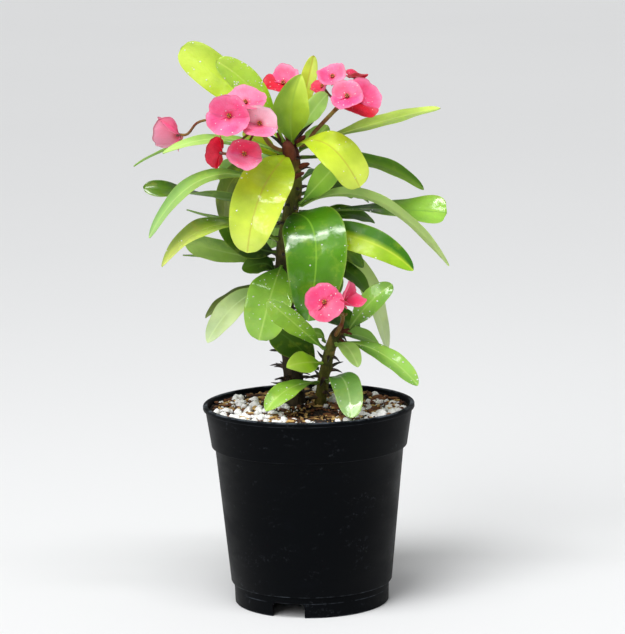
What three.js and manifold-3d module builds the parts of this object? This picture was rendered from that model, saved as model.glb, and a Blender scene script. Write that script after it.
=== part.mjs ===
// Potted crown of thorns (Euphorbia milii) in a black nursery pot. Millimetres, +Z up.
// Everything is laid out from the pot's axis at table height; the last step centres the outline.
import * as THREE from 'three';
import Module from 'manifold-3d';

const wasm = await Module();
wasm.setup();
const { Manifold } = wasm;
const V = (x, y, z) => new THREE.Vector3(x, y, z);
const at = (p) => V(...p);

// ---- driving dimensions -------------------------------------------------------------------
const POT_HEIGHT = 109.8;
const RIM_RADIUS = 57.7;        // over the lip of a 4.5 inch nursery pot
const LIP_HEIGHT = 2.5;
const LIP_OVERHANG = 1.2;
const BAND_HEIGHT = 20.3;       // from under the lip to the step
const BAND_FOOT_RADIUS = 53.5;
const STEP_Z = POT_HEIGHT - LIP_HEIGHT - BAND_HEIGHT;
const STEP_IN = 2.0;
const SKIRT_HEIGHT = 11.7;
const WALL_FOOT_RADIUS = 44.2;
const SKIRT_RADIUS = 42.6;
const FOOT_RADIUS = 42.2;
const POT_WALL = 1.3;
const FLOOR_HEIGHT = 9.0;
const FLOOR_THICKNESS = 1.5;
const NOTCHES = 3;
const NOTCH_WIDTH = 18.2;
const NOTCH_HEIGHT = 7.8;
const NOTCH_BEVEL = 2.4;
const NOTCH_TURN = -108;        // degrees, left of the front
const DRAIN_HOLES = 8;
const DRAIN_RADIUS = 3.5;
const DRAIN_CIRCLE = 30;
const POT_SIDES = 42;

const FIT_GAP = 0.3;            // between pieces that touch
const SOIL_LEVEL = 106.6;
const SOIL_SIDES = 30;
const GRAINS = 36;
const GRAIN_SIZE = [1.5, 2.7];
const STEM_DEPTH = 24;          // how far the cuttings stand in the soil

const BLADE = 0.7;              // leaf thickness
const RIB = 0.5;                // extra under the midrib
const PETIOLE = 1.7;
const STATIONS = [0, 0.17, 0.34, 0.5, 0.65, 0.78, 0.89, 0.96, 1]; // cross-sections along a leaf
const BRACT = 0.7;
const BRACT_SPREAD = 97;        // degrees to either side of a bract's middle
const FOLD = 0.7;               // radians that a fully cupped bract folds forward
const BOWL = 0.6;               // depth of a fully cupped bract as a share of its length
const HEAD_STALK = [1.1, 1.1, 1.2, 1.2, 0.9]; // radii from the stem to the fork
const BLOOM_STALK = [0.8, 0.8, 0.8, 0.7];     // radii from the fork to the bloom
const CUP = [0.9, 1.8, 1.7, 1.0];             // radii from below the bracts to above them
const SPINE_LENGTH = 8.2;       // at the foot of a stem
const SPINE_SHORTENING = 0.015; // for each millimetre of height above FIRST_SPINE
const FIRST_SPINE = 112;
const SPINE_RADIUS = 0.95;
const THORN_RADIUS = 1.5;
const GOLDEN = 137.5;

// Stem centre lines: [x, y, z, radius]
const STEMS = {
  main: [
    [-6.5, 12, 80, 5.3], [-7, 12, 106, 5.5], [-8.6, 12, 126, 5.2], [-10.4, 11, 146, 5], [-12, 10, 165, 4.7],
    [-12.7, 9, 183, 4.5], [-11.4, 8, 198, 4.3], [-8.4, 7, 212, 4.2], [-5.6, 6, 226, 4], [-5.8, 5, 238, 3.9],
    [-7, 4, 249, 3.6], [-7.4, 3.6, 254, 2.8], [-7.6, 3.4, 257.5, 1.3],
  ],
  side: [
    [5.5, 9, 80, 2.9], [6.3, 8, 107, 3.4], [7.8, 4, 119, 3.3], [10.2, -2, 132, 3.2],
    [12.8, -6, 142.5, 3.1], [17.2, -10, 151.3, 2.8], [18.2, -11, 153.6, 1.4],
  ],
};
const SPINE_PITCH = { main: 3.3, side: 4.2 };
// Two large thorns under the crown: [height on the main stem, tip]
const THORNS = [[252.5, [5.2, -5, 263.5]], [249, [-19.6, 1, 257]]];

// Leaves: [name, stem, height on the stem, middle, tip, width, way the upper face looks, fullest at,
// fold, bluntness of the tip, twist over the length in degrees]
const LEAVES = [
  ['top_far_left', 'main', 251, [-36, 16, 278], [-66, 26, 302.5], 20, [-0.5, -0.8, 0.5], 0.72, 0.12, 2.9, 0],
  ['top_left', 'main', 253, [-25, -7, 279], [-46, -14, 297.5], 15.5, [-0.3, -0.6, 0.74], 0.68, 0.18, 2.6, 0],
  ['top_upright', 'main', 252, [-6.5, -8, 271.5], [-1, -10, 289.5], 20, [0, -1, 0.2], 0.52, 0.45, 1.4, 0],
  ['top_back', 'main', 251, [1, 20, 277], [6, 25, 297], 9, [0, -1, 0.2], 0.66, 0.3, 2.4, 0],
  ['top_right_short', 'main', 254.5, [4, 3, 267], [13, -1, 278], 12, [-0.4, -0.8, 0.4], 0.62, 0.2, 2.6, 0],
  ['top_right_long', 'main', 248, [36, 10, 260], [74, 15, 268], 16, [0.02, -0.28, 0.95], 0.66, 0.15, 2.0, 0],
  ['front_right_lime', 'main', 251, [13, -18, 252], [29, -22, 230], 24, [0.3, -0.8, 0.6], 0.62, 0.1, 2.8, 0],
  ['front_lime', 'main', 246, [-23.5, -30, 228], [-31, -37, 198], 28, [-0.1, -0.9, 0.3], 0.42, 0.08, 2.8, 0],
  ['right_dark', 'main', 243, [37, 20, 238], [65, 26, 222.5], 15.5, [-0.3, -0.5, 0.8], 0.6, 0.18, 2.2, 0],
  ['right_inner', 'main', 220, [10, -6, 233], [20.5, -8, 244.5], 14.5, [-0.3, -0.9, 0.3], 0.6, 0.12, 2, 0],
  ['right_back', 'main', 224, [18, 26, 224], [35, 34, 215], 18, [0.1, -0.4, 0.9], 0.62, 0.15, 2.0, 0],
  ['right_arch', 'main', 219, [37, -12, 222.5], [76, -22, 187], 12, [0.25, 0.62, 0.75], 0.52, 0.12, 1.7, 0],
  ['right_curled', 'main', 215, [35, 16, 213.5], [77, 14, 211], 22, [0.1, -0.25, 0.95], 0.86, 0.14, 3, 60],
  ['front_gloss', 'main', 214, [5, -30, 203], [0.5, -34, 160.5], 33.5, [0, -0.95, 0.3], 0.4, 0.1, 2.2, 0],
  ['right_broad', 'main', 206, [32, -16, 200.5], [57, -20, 184.5], 17, [-0.3, -0.8, 0.5], 0.52, 0.12, 1.8, 0],
  ['right_low_back', 'main', 210, [22, 24, 210], [38, 30, 204], 16, [0.1, -0.4, 0.9], 0.62, 0.15, 2.0, 0],
  ['right_inner_low', 'main', 199, [16, 10, 195], [31, 12, 182], 15, [0.1, -0.6, 0.8], 0.62, 0.15, 2.0, 0],
  ['right_hanging', 'main', 196, [27.5, 20, 180.5], [44, 26, 133], 16, [0.8, -0.6, 0.2], 0.55, 0.1, 2, 0],
  ['right_inner_back', 'main', 184, [18, 6, 183], [33, 4, 168], 15, [0.3, -0.5, 0.8], 0.62, 0.15, 2.0, 0],
  ['branch_up', 'side', 151, [33, -18, 166.5], [46, -16, 176.5], 13.5, [-0.4, -0.85, 0.3], 0.62, 0.1, 2.2, 0],
  ['branch_right', 'side', 147, [39, -20, 140], [58.5, -28, 123.5], 13.5, [0.2, -0.6, 0.75], 0.6, 0.15, 2, 0],
  ['branch_back', 'side', 148, [29, 6, 145], [39, 10, 139], 14, [0.1, -0.6, 0.8], 0.62, 0.15, 2.0, 0],
  ['branch_pale', 'side', 146, [21, -26, 144.5], [26.5, -38, 136], 10, [0.2, -0.8, 0.6], 0.55, 0.15, 2.2, 0],
  ['low_front', 'side', 124, [19, -25, 126.5], [22.5, -46, 110], 15.4, [0.1, -0.9, 0.5], 0.54, 0.12, 2.9, 0],
  ['low_left', 'side', 122, [-10.5, -18, 121], [-23, -28, 111], 13.5, [-0.2, -0.7, 0.7], 0.64, 0.12, 1.8, 0],
  ['low_inner', 'side', 133, [-2, -17, 135], [-11.5, -24, 134], 13.5, [0, -0.85, 0.5], 0.58, 0.16, 1.5, 0],
  ['low_dark', 'side', 128, [-7, -8, 144], [-21, -12, 154.5], 20, [-0.4, -0.9, 0.1], 0.6, 0.12, 2, 0],
  ['drops', 'side', 141, [-8, -30.5, 160], [-20.5, -42, 173.5], 15, [-0.5, -0.8, 0.4], 0.6, 0.15, 2.3, 0],
  ['front_low', 'main', 185, [-19, -19, 173], [-26, -21.5, 148.5], 25, [-0.1, -0.95, 0.3], 0.54, 0.1, 2.6, 0],
  ['left_pale', 'main', 174, [-38, -6, 166], [-54, -12, 146], 16, [-0.6, -0.8, 0.2], 0.6, 0.1, 1.6, 0],
  ['left_arc', 'main', 170, [-37, 18, 168.5], [-56, 22, 154], 15, [-0.3, -0.25, 0.92], 0.64, 0.15, 2.4, 0],
  ['left_under', 'main', 187, [-40, 12, 191], [-66, 14, 198], 15, [0, -0.9, -0.4], 0.7, 0.1, 2.3, 0],
  ['left_arch', 'main', 199, [-49, -18, 210], [-77, -24, 189.5], 19, [-0.4, -0.4, 0.8], 0.58, 0.2, 1.7, 0],
  ['left_spike', 'main', 205, [-38, 34, 205], [-66, 48, 211], 12, [0, 0.2, 0.95], 0.6, 0.2, 1.6, 0],
  ['left_long', 'main', 223, [-51, -20, 236.5], [-83, -28, 205.5], 14, [-0.4, -0.5, 0.8], 0.64, 0.15, 1.7, 0],
  ['left_dark', 'main', 217, [-52, 12, 223], [-88, 14, 228], 15, [0, 0.35, 0.93], 0.66, 0.12, 2.6, -150],
  ['left_behind', 'main', 227, [-37, 22, 232], [-44, 26, 205], 18, [-0.7, -0.6, 0.3], 0.6, 0.1, 2.2, 0],
  ['left_pale_top', 'main', 247, [-44, -12, 256], [-75, -24, 250], 11, [-0.2, -0.4, 0.9], 0.6, 0.15, 1.6, 0],
  ['left_blade', 'main', 243, [-54, 12, 252], [-93, 18, 239], 12, [-0.2, 0.05, 1], 0.6, 0.15, 1.6, 0],
  ['branch_small', 'side', 143, [6.5, -8, 149], [0.5, -10, 149.5], 6, [0, -0.8, 0.6], 0.55, 0.15, 1.8, 0],
  ['left_under_back', 'main', 183, [-41, 24, 186], [-68, 30, 188], 12, [0, 0.1, 1], 0.62, 0.15, 1.6, 0],
  ['left_up', 'main', 192, [-31, 1, 198], [-47, 2, 212], 16, [-0.3, -0.85, 0.3], 0.44, 0.12, 2, 0],
  ['crown_young', 'main', 244, [-21, 2, 250], [-33, 2, 258], 11, [-0.2, -0.7, 0.7], 0.6, 0.2, 2.0, 0],
  ['crown_right', 'main', 246, [5, 16, 252], [13, 22, 259], 12, [0, -0.7, 0.7], 0.6, 0.2, 2.0, 0],
  ['stem_young', 'main', 182, [-23, 5, 186], [-35, 8, 183], 12, [-0.2, -0.8, 0.6], 0.5, 0.12, 2, 0],
  ['low_right_back', 'main', 165, [11, 22, 156], [29, 24, 147], 18, [0.2, -0.6, 0.8], 0.62, 0.12, 2.0, 0],
  ['back_left', 'main', 238, [-30, 42, 240], [-44, 62, 222], 22, [-0.3, 0.5, 0.8], 0.64, 0.12, 2.2, 0],
  ['back_right', 'main', 230, [14, 42, 232], [26, 64, 214], 22, [0.2, 0.5, 0.8], 0.64, 0.12, 2.2, 0],
  ['back_low', 'main', 205, [-14, 42, 208], [-20, 66, 186], 23, [0, 0.55, 0.8], 0.64, 0.12, 2.2, 0],
  ['back_low_right', 'main', 190, [6, 38, 180], [14, 56, 158], 20, [0.2, 0.7, 0.7], 0.64, 0.12, 2.2, 0],
  ['back_top', 'main', 248, [-6, 32, 262], [-4, 56, 258], 19, [0, 0.1, 0.99], 0.66, 0.15, 2.3, 0],
];

// Flower heads: where the stalk leaves the stem, its knee and fork, and the blooms it carries as
// [centre, way it faces, width, turn of the two bracts, cupping, point its own stalk passes]
const HEADS = {
  bloom_head_left: {
    stem: ['main', 249],
    knee: [-17, -7, 251],
    fork: [-24, -18, 263],
    blooms: [
      [[-38.9, -36, 270.5], [-0.2, -0.95, 0.15], 25.5, 80, 0.45],
      [[-23.2, -34, 265.8], [-0.05, -0.93, 0.3], 22.3, 70, 0.6],
      [[-30.5, -28, 275.8], [-0.05, -0.45, 0.85], 25, 90, 0.3],
      [[-31.7, -33, 250], [0.1, -0.95, 0.1], 20.8, 70, 0.6],
      [[-43.6, -28, 250], [-0.85, 0.4, 0.1], 19, 0, 0.6],
      [[-67, -3, 257.8], [-0.9, 0.4, 0.05], 27, -50, 0.9, [-57, -10, 264.5]],
    ],
  },
  bloom_head_right: {
    stem: ['main', 250],
    knee: [6, 2.5, 258],
    fork: [18, -5, 271],
    blooms: [
      [[23.2, -16, 277.7], [-0.1, -0.85, 0.5], 19, 90, 0.4],
      [[29.6, -6.5, 274.2], [0.2, -0.8, 0.5], 25.5, 52, 0.4],
      [[16, 2, 286.5], [-0.2, -0.6, 0.75], 18.5, 20, 0.45],
      [[28, 10, 285.8], [0.15, 0, 1], 15, 20, 0.4],
      [[11, 12, 280.5], [-0.5, -0.35, 0.75], 15, 30, 0.5],
    ],
  },
  bloom_head_top: {
    stem: ['main', 254],
    knee: [-10, 9, 260],
    fork: [-12, 12, 272],
    blooms: [
      [[-10.5, 15, 282.5], [-0.25, -0.6, 0.65], 22.5, 55, 0.45],
    ],
  },
  bloom_head_low: {
    stem: ['side', 151],
    knee: [18, -17, 155],
    fork: [19, -29, 163],
    blooms: [
      [[9, -49, 172.5], [0.05, -0.85, 0.5], 22.5, 118, 0.2, [17.5, -42, 165.5]],
      [[18.6, -38, 170.9], [0.78, -0.28, 0.58], 24, 95, 0.8],
    ],
  },
};

const FINISH = {
  pot: [0x0d0e10, 0.5], soil: [0x3b2a1e, 0.95], stem: [0x4a3a2c, 0.85], leaf: [0x5a9a24, 0.35],
  lime: [0xa9c832, 0.35], dark: [0x27481a, 0.35], pale: [0xa5c97e, 0.4], bloom: [0xf0457c, 0.5],
};
const TINT = {
  top_far_left: 'lime', top_back: 'lime', front_right_lime: 'lime', front_lime: 'lime', right_dark: 'dark',
  left_dark: 'dark', left_pale: 'pale', left_pale_top: 'pale', branch_pale: 'pale', low_dark: 'dark',
};

// ---- small helpers ------------------------------------------------------------------------
function randomFrom(seed) {
  let state = seed;
  return () => {
    state = (state * 16807) % 2147483647;
    return state / 2147483647;
  };
}

// A closed body from points and triangles, turned to face outward.
function body(points, triangles) {
  let volume = 0;
  for (const [a, b, c] of triangles) {
    volume += points[a].dot(points[b].clone().cross(points[c]));
  }
  const faces = volume < 0 ? triangles.map(([a, b, c]) => [a, c, b]) : triangles;
  const vertProperties = new Float32Array(points.flatMap((p) => [p.x, p.y, p.z]));
  const triVerts = new Uint32Array(faces.flat());
  return new Manifold(new wasm.Mesh({ numProp: 3, vertProperties, triVerts }));
}

// A skin through rings of equal count, with flat ends.
function skin(rings) {
  const n = rings[0].length;
  const triangles = [];
  for (let i = 0; i + 1 < rings.length; i += 1) {
    for (let j = 0; j < n; j += 1) {
      const k = (j + 1) % n;
      const [a, b] = [i * n, (i + 1) * n];
      triangles.push([a + j, a + k, b + k], [a + j, b + k, b + j]);
    }
  }
  const last = (rings.length - 1) * n;
  for (let j = 1; j + 1 < n; j += 1) {
    triangles.push([0, j + 1, j], [last, last + j, last + j + 1]);
  }
  return body(rings.flat(), triangles);
}

function across(direction, hint = V(0, 0, 1)) {
  const side = direction.clone().cross(hint);
  if (side.length() < 0.05) side.copy(direction).cross(V(1, 0, 0));
  return side.normalize();
}

// Points evenly round a centre in the plane of two unit vectors.
function ringRound(centre, u, v, radius, sides) {
  return Array.from({ length: sides }, (_, k) => {
    const turn = (2 * Math.PI * k) / sides;
    const spot = centre.clone().addScaledVector(u, radius * Math.cos(turn));
    return spot.addScaledVector(v, radius * Math.sin(turn));
  });
}

// A round bar along a line of points with a radius at each.
function bar(line, radii, sides) {
  const rings = line.map((p, i) => {
    const ahead = line[Math.min(i + 1, line.length - 1)];
    const behind = line[Math.max(i - 1, 0)];
    const u = across(ahead.clone().sub(behind).normalize(), V(0, 1, 0.01));
    const v = ahead.clone().sub(behind).normalize().cross(u);
    return ringRound(p, u, v, radii[i], sides);
  });
  return skin(rings);
}

// ---- stems --------------------------------------------------------------------------------
// Centre and radius of a stem at a height.
function stemAt(stem, height) {
  const rows = STEMS[stem];
  let i = rows.findIndex((row) => row[2] > height);
  i = i < 0 ? rows.length - 1 : Math.max(i, 1);
  const [a, b] = [rows[i - 1], rows[i]];
  const t = (height - a[2]) / (b[2] - a[2]);
  const [x, y, z, radius] = a.map((value, k) => value + (b[k] - value) * t);
  const axis = V(b[0] - a[0], b[1] - a[1], b[2] - a[2]).normalize();
  return { centre: V(x, y, z), radius, axis };
}

// Where something that grows toward a point leaves the stem's skin, and which way.
function rootOn(stem, height, toward) {
  const { centre, radius, axis } = stemAt(stem, height);
  const out = toward.clone().sub(centre);
  out.addScaledVector(axis, -out.dot(axis)).normalize();
  return { point: centre.clone().addScaledVector(out, radius + FIT_GAP + 0.05), out };
}

function spine(stem, height, turn, lift, length) {
  const { centre, radius, axis } = stemAt(stem, height);
  const u = across(axis, V(0, 1, 0));
  const v = axis.clone().cross(u);
  const out = u.multiplyScalar(Math.cos(turn)).addScaledVector(v, Math.sin(turn));
  const way = out.clone().addScaledVector(axis, lift).normalize();
  const root = centre.clone().addScaledVector(out, radius * 0.55);
  const tip = centre.clone().addScaledVector(out, radius).addScaledVector(way, length);
  return { root, tip };
}

// Points down the middle of the other stem, which spines stay off as well.
function neighbour(stem) {
  const other = stem === 'main' ? 'side' : 'main';
  const heights = Array.from({ length: 30 }, (_, i) => 106 + 1.6 * i);
  return heights.map((height) => ({ p: stemAt(other, height).centre, keep: 6.5 }));
}

function spinesOf(stem, blades) {
  const crowd = [...blades, ...neighbour(stem)];
  const rows = STEMS[stem];
  const top = rows[rows.length - 2][2];
  const random = randomFrom(stem === 'main' ? 411 : 733);
  const kept = [];
  for (let height = FIRST_SPINE, n = 0; height < top; height += SPINE_PITCH[stem], n += 1) {
    for (const side of [-1, 1]) {
      const turn = THREE.MathUtils.degToRad(n * GOLDEN + side * 24 + 10 * random());
      const longest = SPINE_LENGTH - SPINE_SHORTENING * (height - FIRST_SPINE);
      const length = longest * (0.7 + 0.4 * random());
      const one = spine(stem, height, turn, 0.25 * (random() - 0.3), length);
      if (isClear(one, crowd)) kept.push(one);
    }
  }
  return kept;
}

// A spine is left off where a leaf or stalk passes too near.
function isClear({ root, tip }, blades) {
  const probes = [0.4, 0.6, 0.8, 1].map((t) => root.clone().lerp(tip, t));
  return blades.every(({ p, keep }) => probes.every((q) => q.distanceTo(p) > keep));
}

// A spine or thorn: three flat sides that meet at the tip.
function prickle({ root, tip }, radius) {
  const way = tip.clone().sub(root).normalize();
  const u = across(way);
  const v = way.clone().cross(u);
  const ring = ringRound(root, u, v, radius, 3);
  return body([...ring, tip], [[0, 1, 2], [0, 3, 1], [1, 3, 2], [2, 3, 0]]);
}

function thorns() {
  return THORNS.map(([height, tip]) => {
    const { centre, radius } = stemAt('main', height);
    const { out } = rootOn('main', height, at(tip));
    return prickle({ root: centre.clone().addScaledVector(out, radius * 0.5), tip: at(tip) }, THORN_RADIUS);
  });
}

function stemBody(stem, blades) {
  const rows = STEMS[stem];
  const line = rows.map(([x, y, z]) => V(x, y, z));
  const parts = [bar(line, rows.map((row) => row[3]), 10)];
  parts.push(...spinesOf(stem, blades).map((one) => prickle(one, SPINE_RADIUS)));
  if (stem === 'main') parts.push(...thorns());
  return Manifold.union(parts);
}

// ---- leaves -------------------------------------------------------------------------------
// Share of the full half width at a share of the length: a slim foot, fullest late, then the tip.
function outline(s, fullest, blunt) {
  if (s < fullest) return Math.sin((0.5 * Math.PI * s) / fullest) ** (3 * fullest - 0.3);
  const t = Math.min((s - fullest) / (1 - fullest), 1);
  return (1 - t ** blunt) ** (0.9 - 0.16 * blunt);
}

// The midrib is a plain arc from the stem through the middle to the tip.
function midrib(start, middle, tip) {
  const control = middle.clone().multiplyScalar(2).addScaledVector(start, -0.5).addScaledVector(tip, -0.5);
  return new THREE.QuadraticBezierCurve3(start, control, tip);
}

function evenShares(count) {
  return Array.from({ length: count }, (_, i) => i / (count - 1));
}

// Centre, across and up vectors at shares of a leaf's length; they are carried from the middle and
// then turned by the leaf's twist.
function leafFrames(leaf, shares) {
  const [, stem, height, middle, tip, width, face, fullest, , blunt, twist] = leaf;
  const count = shares.length;
  const { point, out } = rootOn(stem, height, at(middle));
  const start = point.clone().addScaledVector(out, 1.2);
  const curve = midrib(start, at(middle), at(tip));
  const way = shares.map((s) => curve.getTangentAt(s));
  const half = shares.findIndex((s) => s >= 0.5);
  const up = [];
  const carry = (i, from) => {
    up[i] = from.clone().addScaledVector(way[i], -from.dot(way[i])).normalize();
  };
  carry(half, at(face));
  for (let i = half + 1; i < count; i += 1) carry(i, up[i - 1]);
  for (let i = half - 1; i >= 0; i -= 1) carry(i, up[i + 1]);
  const frames = shares.map((s, i) => {
    const reach = Math.max((outline(s, fullest, blunt) * width) / 2, (PETIOLE / 2) * (1 - s), 0.45);
    const turned = up[i].applyAxisAngle(way[i], THREE.MathUtils.degToRad(twist) * (s - 0.5));
    return { s, centre: curve.getPointAt(s), up: turned, side: way[i].clone().cross(turned), reach };
  });
  const foot = { ...frames[0], centre: point };
  foot.up = foot.up.clone().addScaledVector(out, -foot.up.dot(out)).normalize();
  foot.side = out.clone().cross(foot.up);
  return [foot, ...frames];
}

// Margin and midrib points of one cross-section: the margins rise by the fold and ripple a little.
function crossSection({ s, centre, up, side, reach }, fold, phase) {
  const edge = (sign) => {
    const ripple = 0.07 * reach * Math.sin(9 * s + phase + sign);
    return centre.clone().addScaledVector(side, sign * reach).addScaledVector(up, fold * reach + ripple);
  };
  return [edge(-1), centre, edge(1)];
}

function leafBody(leaf, index) {
  const fold = leaf[8];
  const stations = leafFrames(leaf, STATIONS);
  const columns = 3;
  const points = [];
  for (const station of stations) {
    const row = crossSection(station, fold, index);
    const lower = [-BLADE / 2, -BLADE / 2 - RIB, -BLADE / 2];
    row.forEach((p) => points.push(p.clone().addScaledVector(station.up, BLADE / 2)));
    row.forEach((p, c) => points.push(p.clone().addScaledVector(station.up, lower[c])));
  }
  return body(points, plateTriangles(stations.length, columns));
}

// Triangles of a plate whose rows hold the upper points and then the lower ones, cut alike on both.
function plateTriangles(rows, columns) {
  const upper = (i, c) => i * 2 * columns + c;
  const lower = (i, c) => upper(i, c) + columns;
  const triangles = [];
  const quad = (a, b, c, d) => triangles.push([a, b, c], [a, c, d]);
  for (let i = 0; i + 1 < rows; i += 1) {
    for (let c = 0; c + 1 < columns; c += 1) {
      const mirrored = c >= (columns - 1) / 2;
      const [p, q, r, t] = mirrored ? [[i, c], [i, c + 1], [i + 1, c + 1], [i + 1, c]]
        : [[i + 1, c], [i, c], [i, c + 1], [i + 1, c + 1]];
      quad(upper(...p), upper(...q), upper(...r), upper(...t));
      triangles.push([lower(...p), lower(...r), lower(...q)], [lower(...p), lower(...t), lower(...r)]);
    }
    const m = columns - 1;
    quad(upper(i, 0), upper(i + 1, 0), lower(i + 1, 0), lower(i, 0));
    quad(upper(i, m), lower(i, m), lower(i + 1, m), upper(i + 1, m));
  }
  for (let c = 0; c + 1 < columns; c += 1) {
    const e = rows - 1;
    quad(upper(0, c), lower(0, c), lower(0, c + 1), upper(0, c + 1));
    quad(upper(e, c), upper(e, c + 1), lower(e, c + 1), lower(e, c));
  }
  return triangles;
}

// ---- blooms -------------------------------------------------------------------------------
// One kidney-shaped bract: rays round the centre, folded and cupped toward the front.
function bract(centre, facing, leaning, width, lift, cupping) {
  const hinge = facing.clone().cross(leaning);
  const lean = leaning.clone().applyAxisAngle(hinge, -FOLD * cupping);
  const face = facing.clone().applyAxisAngle(hinge, -FOLD * cupping);
  const spread = THREE.MathUtils.degToRad(BRACT_SPREAD);
  const rays = 7;
  const shares = [0.07, 0.6, 1];
  const points = [];
  const other = face.clone().cross(lean);
  for (let j = 0; j < rays; j += 1) {
    const turn = spread * ((2 * j) / (rays - 1) - 1);
    const round = (width / 2) * (1 - 0.13 * Math.abs(turn / spread) ** 3);
    const way = lean.clone().multiplyScalar(Math.cos(turn)).addScaledVector(other, Math.sin(turn));
    const row = shares.map((share) => {
      const rise = lift + BOWL * cupping * round * share * share + 0.35 * share * Math.sin(3 * turn);
      return centre.clone().addScaledVector(way, round * share).addScaledVector(face, rise);
    });
    row.forEach((p) => points.push(p.clone().addScaledVector(face, BRACT / 2)));
    row.forEach((p) => points.push(p.clone().addScaledVector(face, -BRACT / 2)));
  }
  return body(points, plateTriangles(rays, shares.length));
}

// A bloom: two bracts facing each other, the small cup between them, and its own stalk.
function bloomBody([centre, facing, width, turn, cupping, via], fork) {
  const face = at(facing).normalize();
  const middle = at(centre);
  const u = across(face);
  const angle = THREE.MathUtils.degToRad(turn);
  const lean = u.clone().applyAxisAngle(face, angle);
  const [back, seat, mouth, top] = [-3.2, -1, 1.6, 2.6].map((d) => middle.clone().addScaledVector(face, d));
  const bend = via ? at(via) : fork.clone().lerp(back, 0.5).add(V(0, 0, 0.8));
  return [
    bract(middle, face, lean, width, 0, cupping),
    bract(middle, face, lean.clone().negate(), width * 0.96, 1.1, cupping),
    bar([back, seat, mouth, top], CUP, 5),
    bar([fork, bend, back, seat], BLOOM_STALK, 4),
  ];
}

function headBody({ stem: [stem, height], knee, fork, blooms }) {
  const { point, out } = rootOn(stem, height, at(knee));
  const line = [point, point.clone().addScaledVector(out, 2.2), at(knee), at(fork)];
  line.push(line[3].clone().lerp(line[2], -0.08));
  const parts = [bar(line, HEAD_STALK, 5)];
  blooms.forEach((bloom) => parts.push(...bloomBody(bloom, at(fork))));
  return Manifold.union(parts);
}

// ---- soil and pot -------------------------------------------------------------------------
// Height of the soil: mounded at the stems, a hollow in front of them, a little lumpy.
function soilHeight(x, y) {
  const mound = 1.2 * Math.exp(-((x - 1) ** 2 + (y - 12) ** 2) / 260);
  const hollow = -3.2 * Math.exp(-((x - 2) ** 2 + (y + 17) ** 2) / 150);
  const lumps = 0.5 * Math.sin(0.31 * x + 1) * Math.cos(0.27 * y) + 0.4 * Math.sin(0.5 * (x + y));
  return SOIL_LEVEL + mound + hollow + lumps;
}

// Inner radius of the pot at a height.
function potInside(z) {
  const slope = (BAND_FOOT_RADIUS - STEP_IN - WALL_FOOT_RADIUS) / (STEP_Z - SKIRT_HEIGHT);
  const wall = WALL_FOOT_RADIUS + slope * (z - SKIRT_HEIGHT);
  const flare = (RIM_RADIUS - LIP_OVERHANG - BAND_FOOT_RADIUS) / BAND_HEIGHT;
  const band = BAND_FOOT_RADIUS + flare * (z - STEP_Z);
  return (z < STEP_Z + 1.6 ? wall : band) - POT_WALL;
}

function soilBody(stems) {
  const floor = FLOOR_HEIGHT + FLOOR_THICKNESS;
  const levels = [floor + FIT_GAP, STEP_Z + 1.6, STEP_Z + 3.2];
  const radii = [potInside(levels[0]), potInside(STEP_Z), potInside(levels[2])].map((r) => r - 0.45);
  const ringAt = (radius, height) => Array.from({ length: SOIL_SIDES }, (_, k) => {
    const turn = (2 * Math.PI * k) / SOIL_SIDES;
    const [x, y] = [radius * Math.cos(turn), radius * Math.sin(turn)];
    return V(x, y, height ?? soilHeight(x, y));
  });
  const edge = potInside(SOIL_LEVEL) - 0.5;
  const rings = levels.map((level, i) => ringAt(radii[i], level));
  for (const share of [1, 0.86, 0.7, 0.54, 0.38, 0.22, 0.08]) rings.push(ringAt(edge * share));
  const ground = skin(rings);
  const holes = stems.map((stem) => {
    const [foot, ground, above] = STEMS[stem];
    const line = [at(foot).add(V(0, 0, -FIT_GAP)), at(ground), at(ground).lerp(at(above), 0.4)];
    return bar(line, [foot[3], ground[3], ground[3]].map((r) => r + FIT_GAP), 12);
  });
  return Manifold.union([ground, ...grains()]).subtract(Manifold.union(holes));
}

// Perlite and bark lying on the soil, sunk in by more than half; none stands in the stems' holes.
function grains() {
  const random = randomFrom(97);
  const out = [];
  while (out.length < GRAINS) {
    const radius = (potInside(SOIL_LEVEL) - 4.2) * Math.sqrt(random());
    const turn = 2 * Math.PI * random();
    const [x, y] = [radius * Math.cos(turn), radius * Math.sin(turn)];
    const size = GRAIN_SIZE[0] + (GRAIN_SIZE[1] - GRAIN_SIZE[0]) * random();
    const stretch = 0.8 + 0.5 * random();
    const grounds = Object.values(STEMS).map((rows) => rows[1]);
    if (grounds.some(([gx, gy, , thick]) => Math.hypot(x - gx, y - gy) < thick + 4)) continue;
    const spin = new THREE.Euler(6 * random(), 6 * random(), 6 * random());
    out.push(grain(V(x, y, soilHeight(x, y) - 0.25), V(size * stretch, size, size * 0.9), spin));
  }
  return out;
}

// One lump with eight flat sides.
function grain(centre, size, spin) {
  const ends = [[1, 0, 0], [-1, 0, 0], [0, 1, 0], [0, -1, 0], [0, 0, 1], [0, 0, -1]];
  const corners = ends.map((p) => at(p).multiply(size).applyEuler(spin).add(centre));
  const over = [[0, 2, 4], [2, 1, 4], [1, 3, 4], [3, 0, 4]];
  return body(corners, [...over, [2, 0, 5], [1, 2, 5], [3, 1, 5], [0, 3, 5]]);
}

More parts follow.
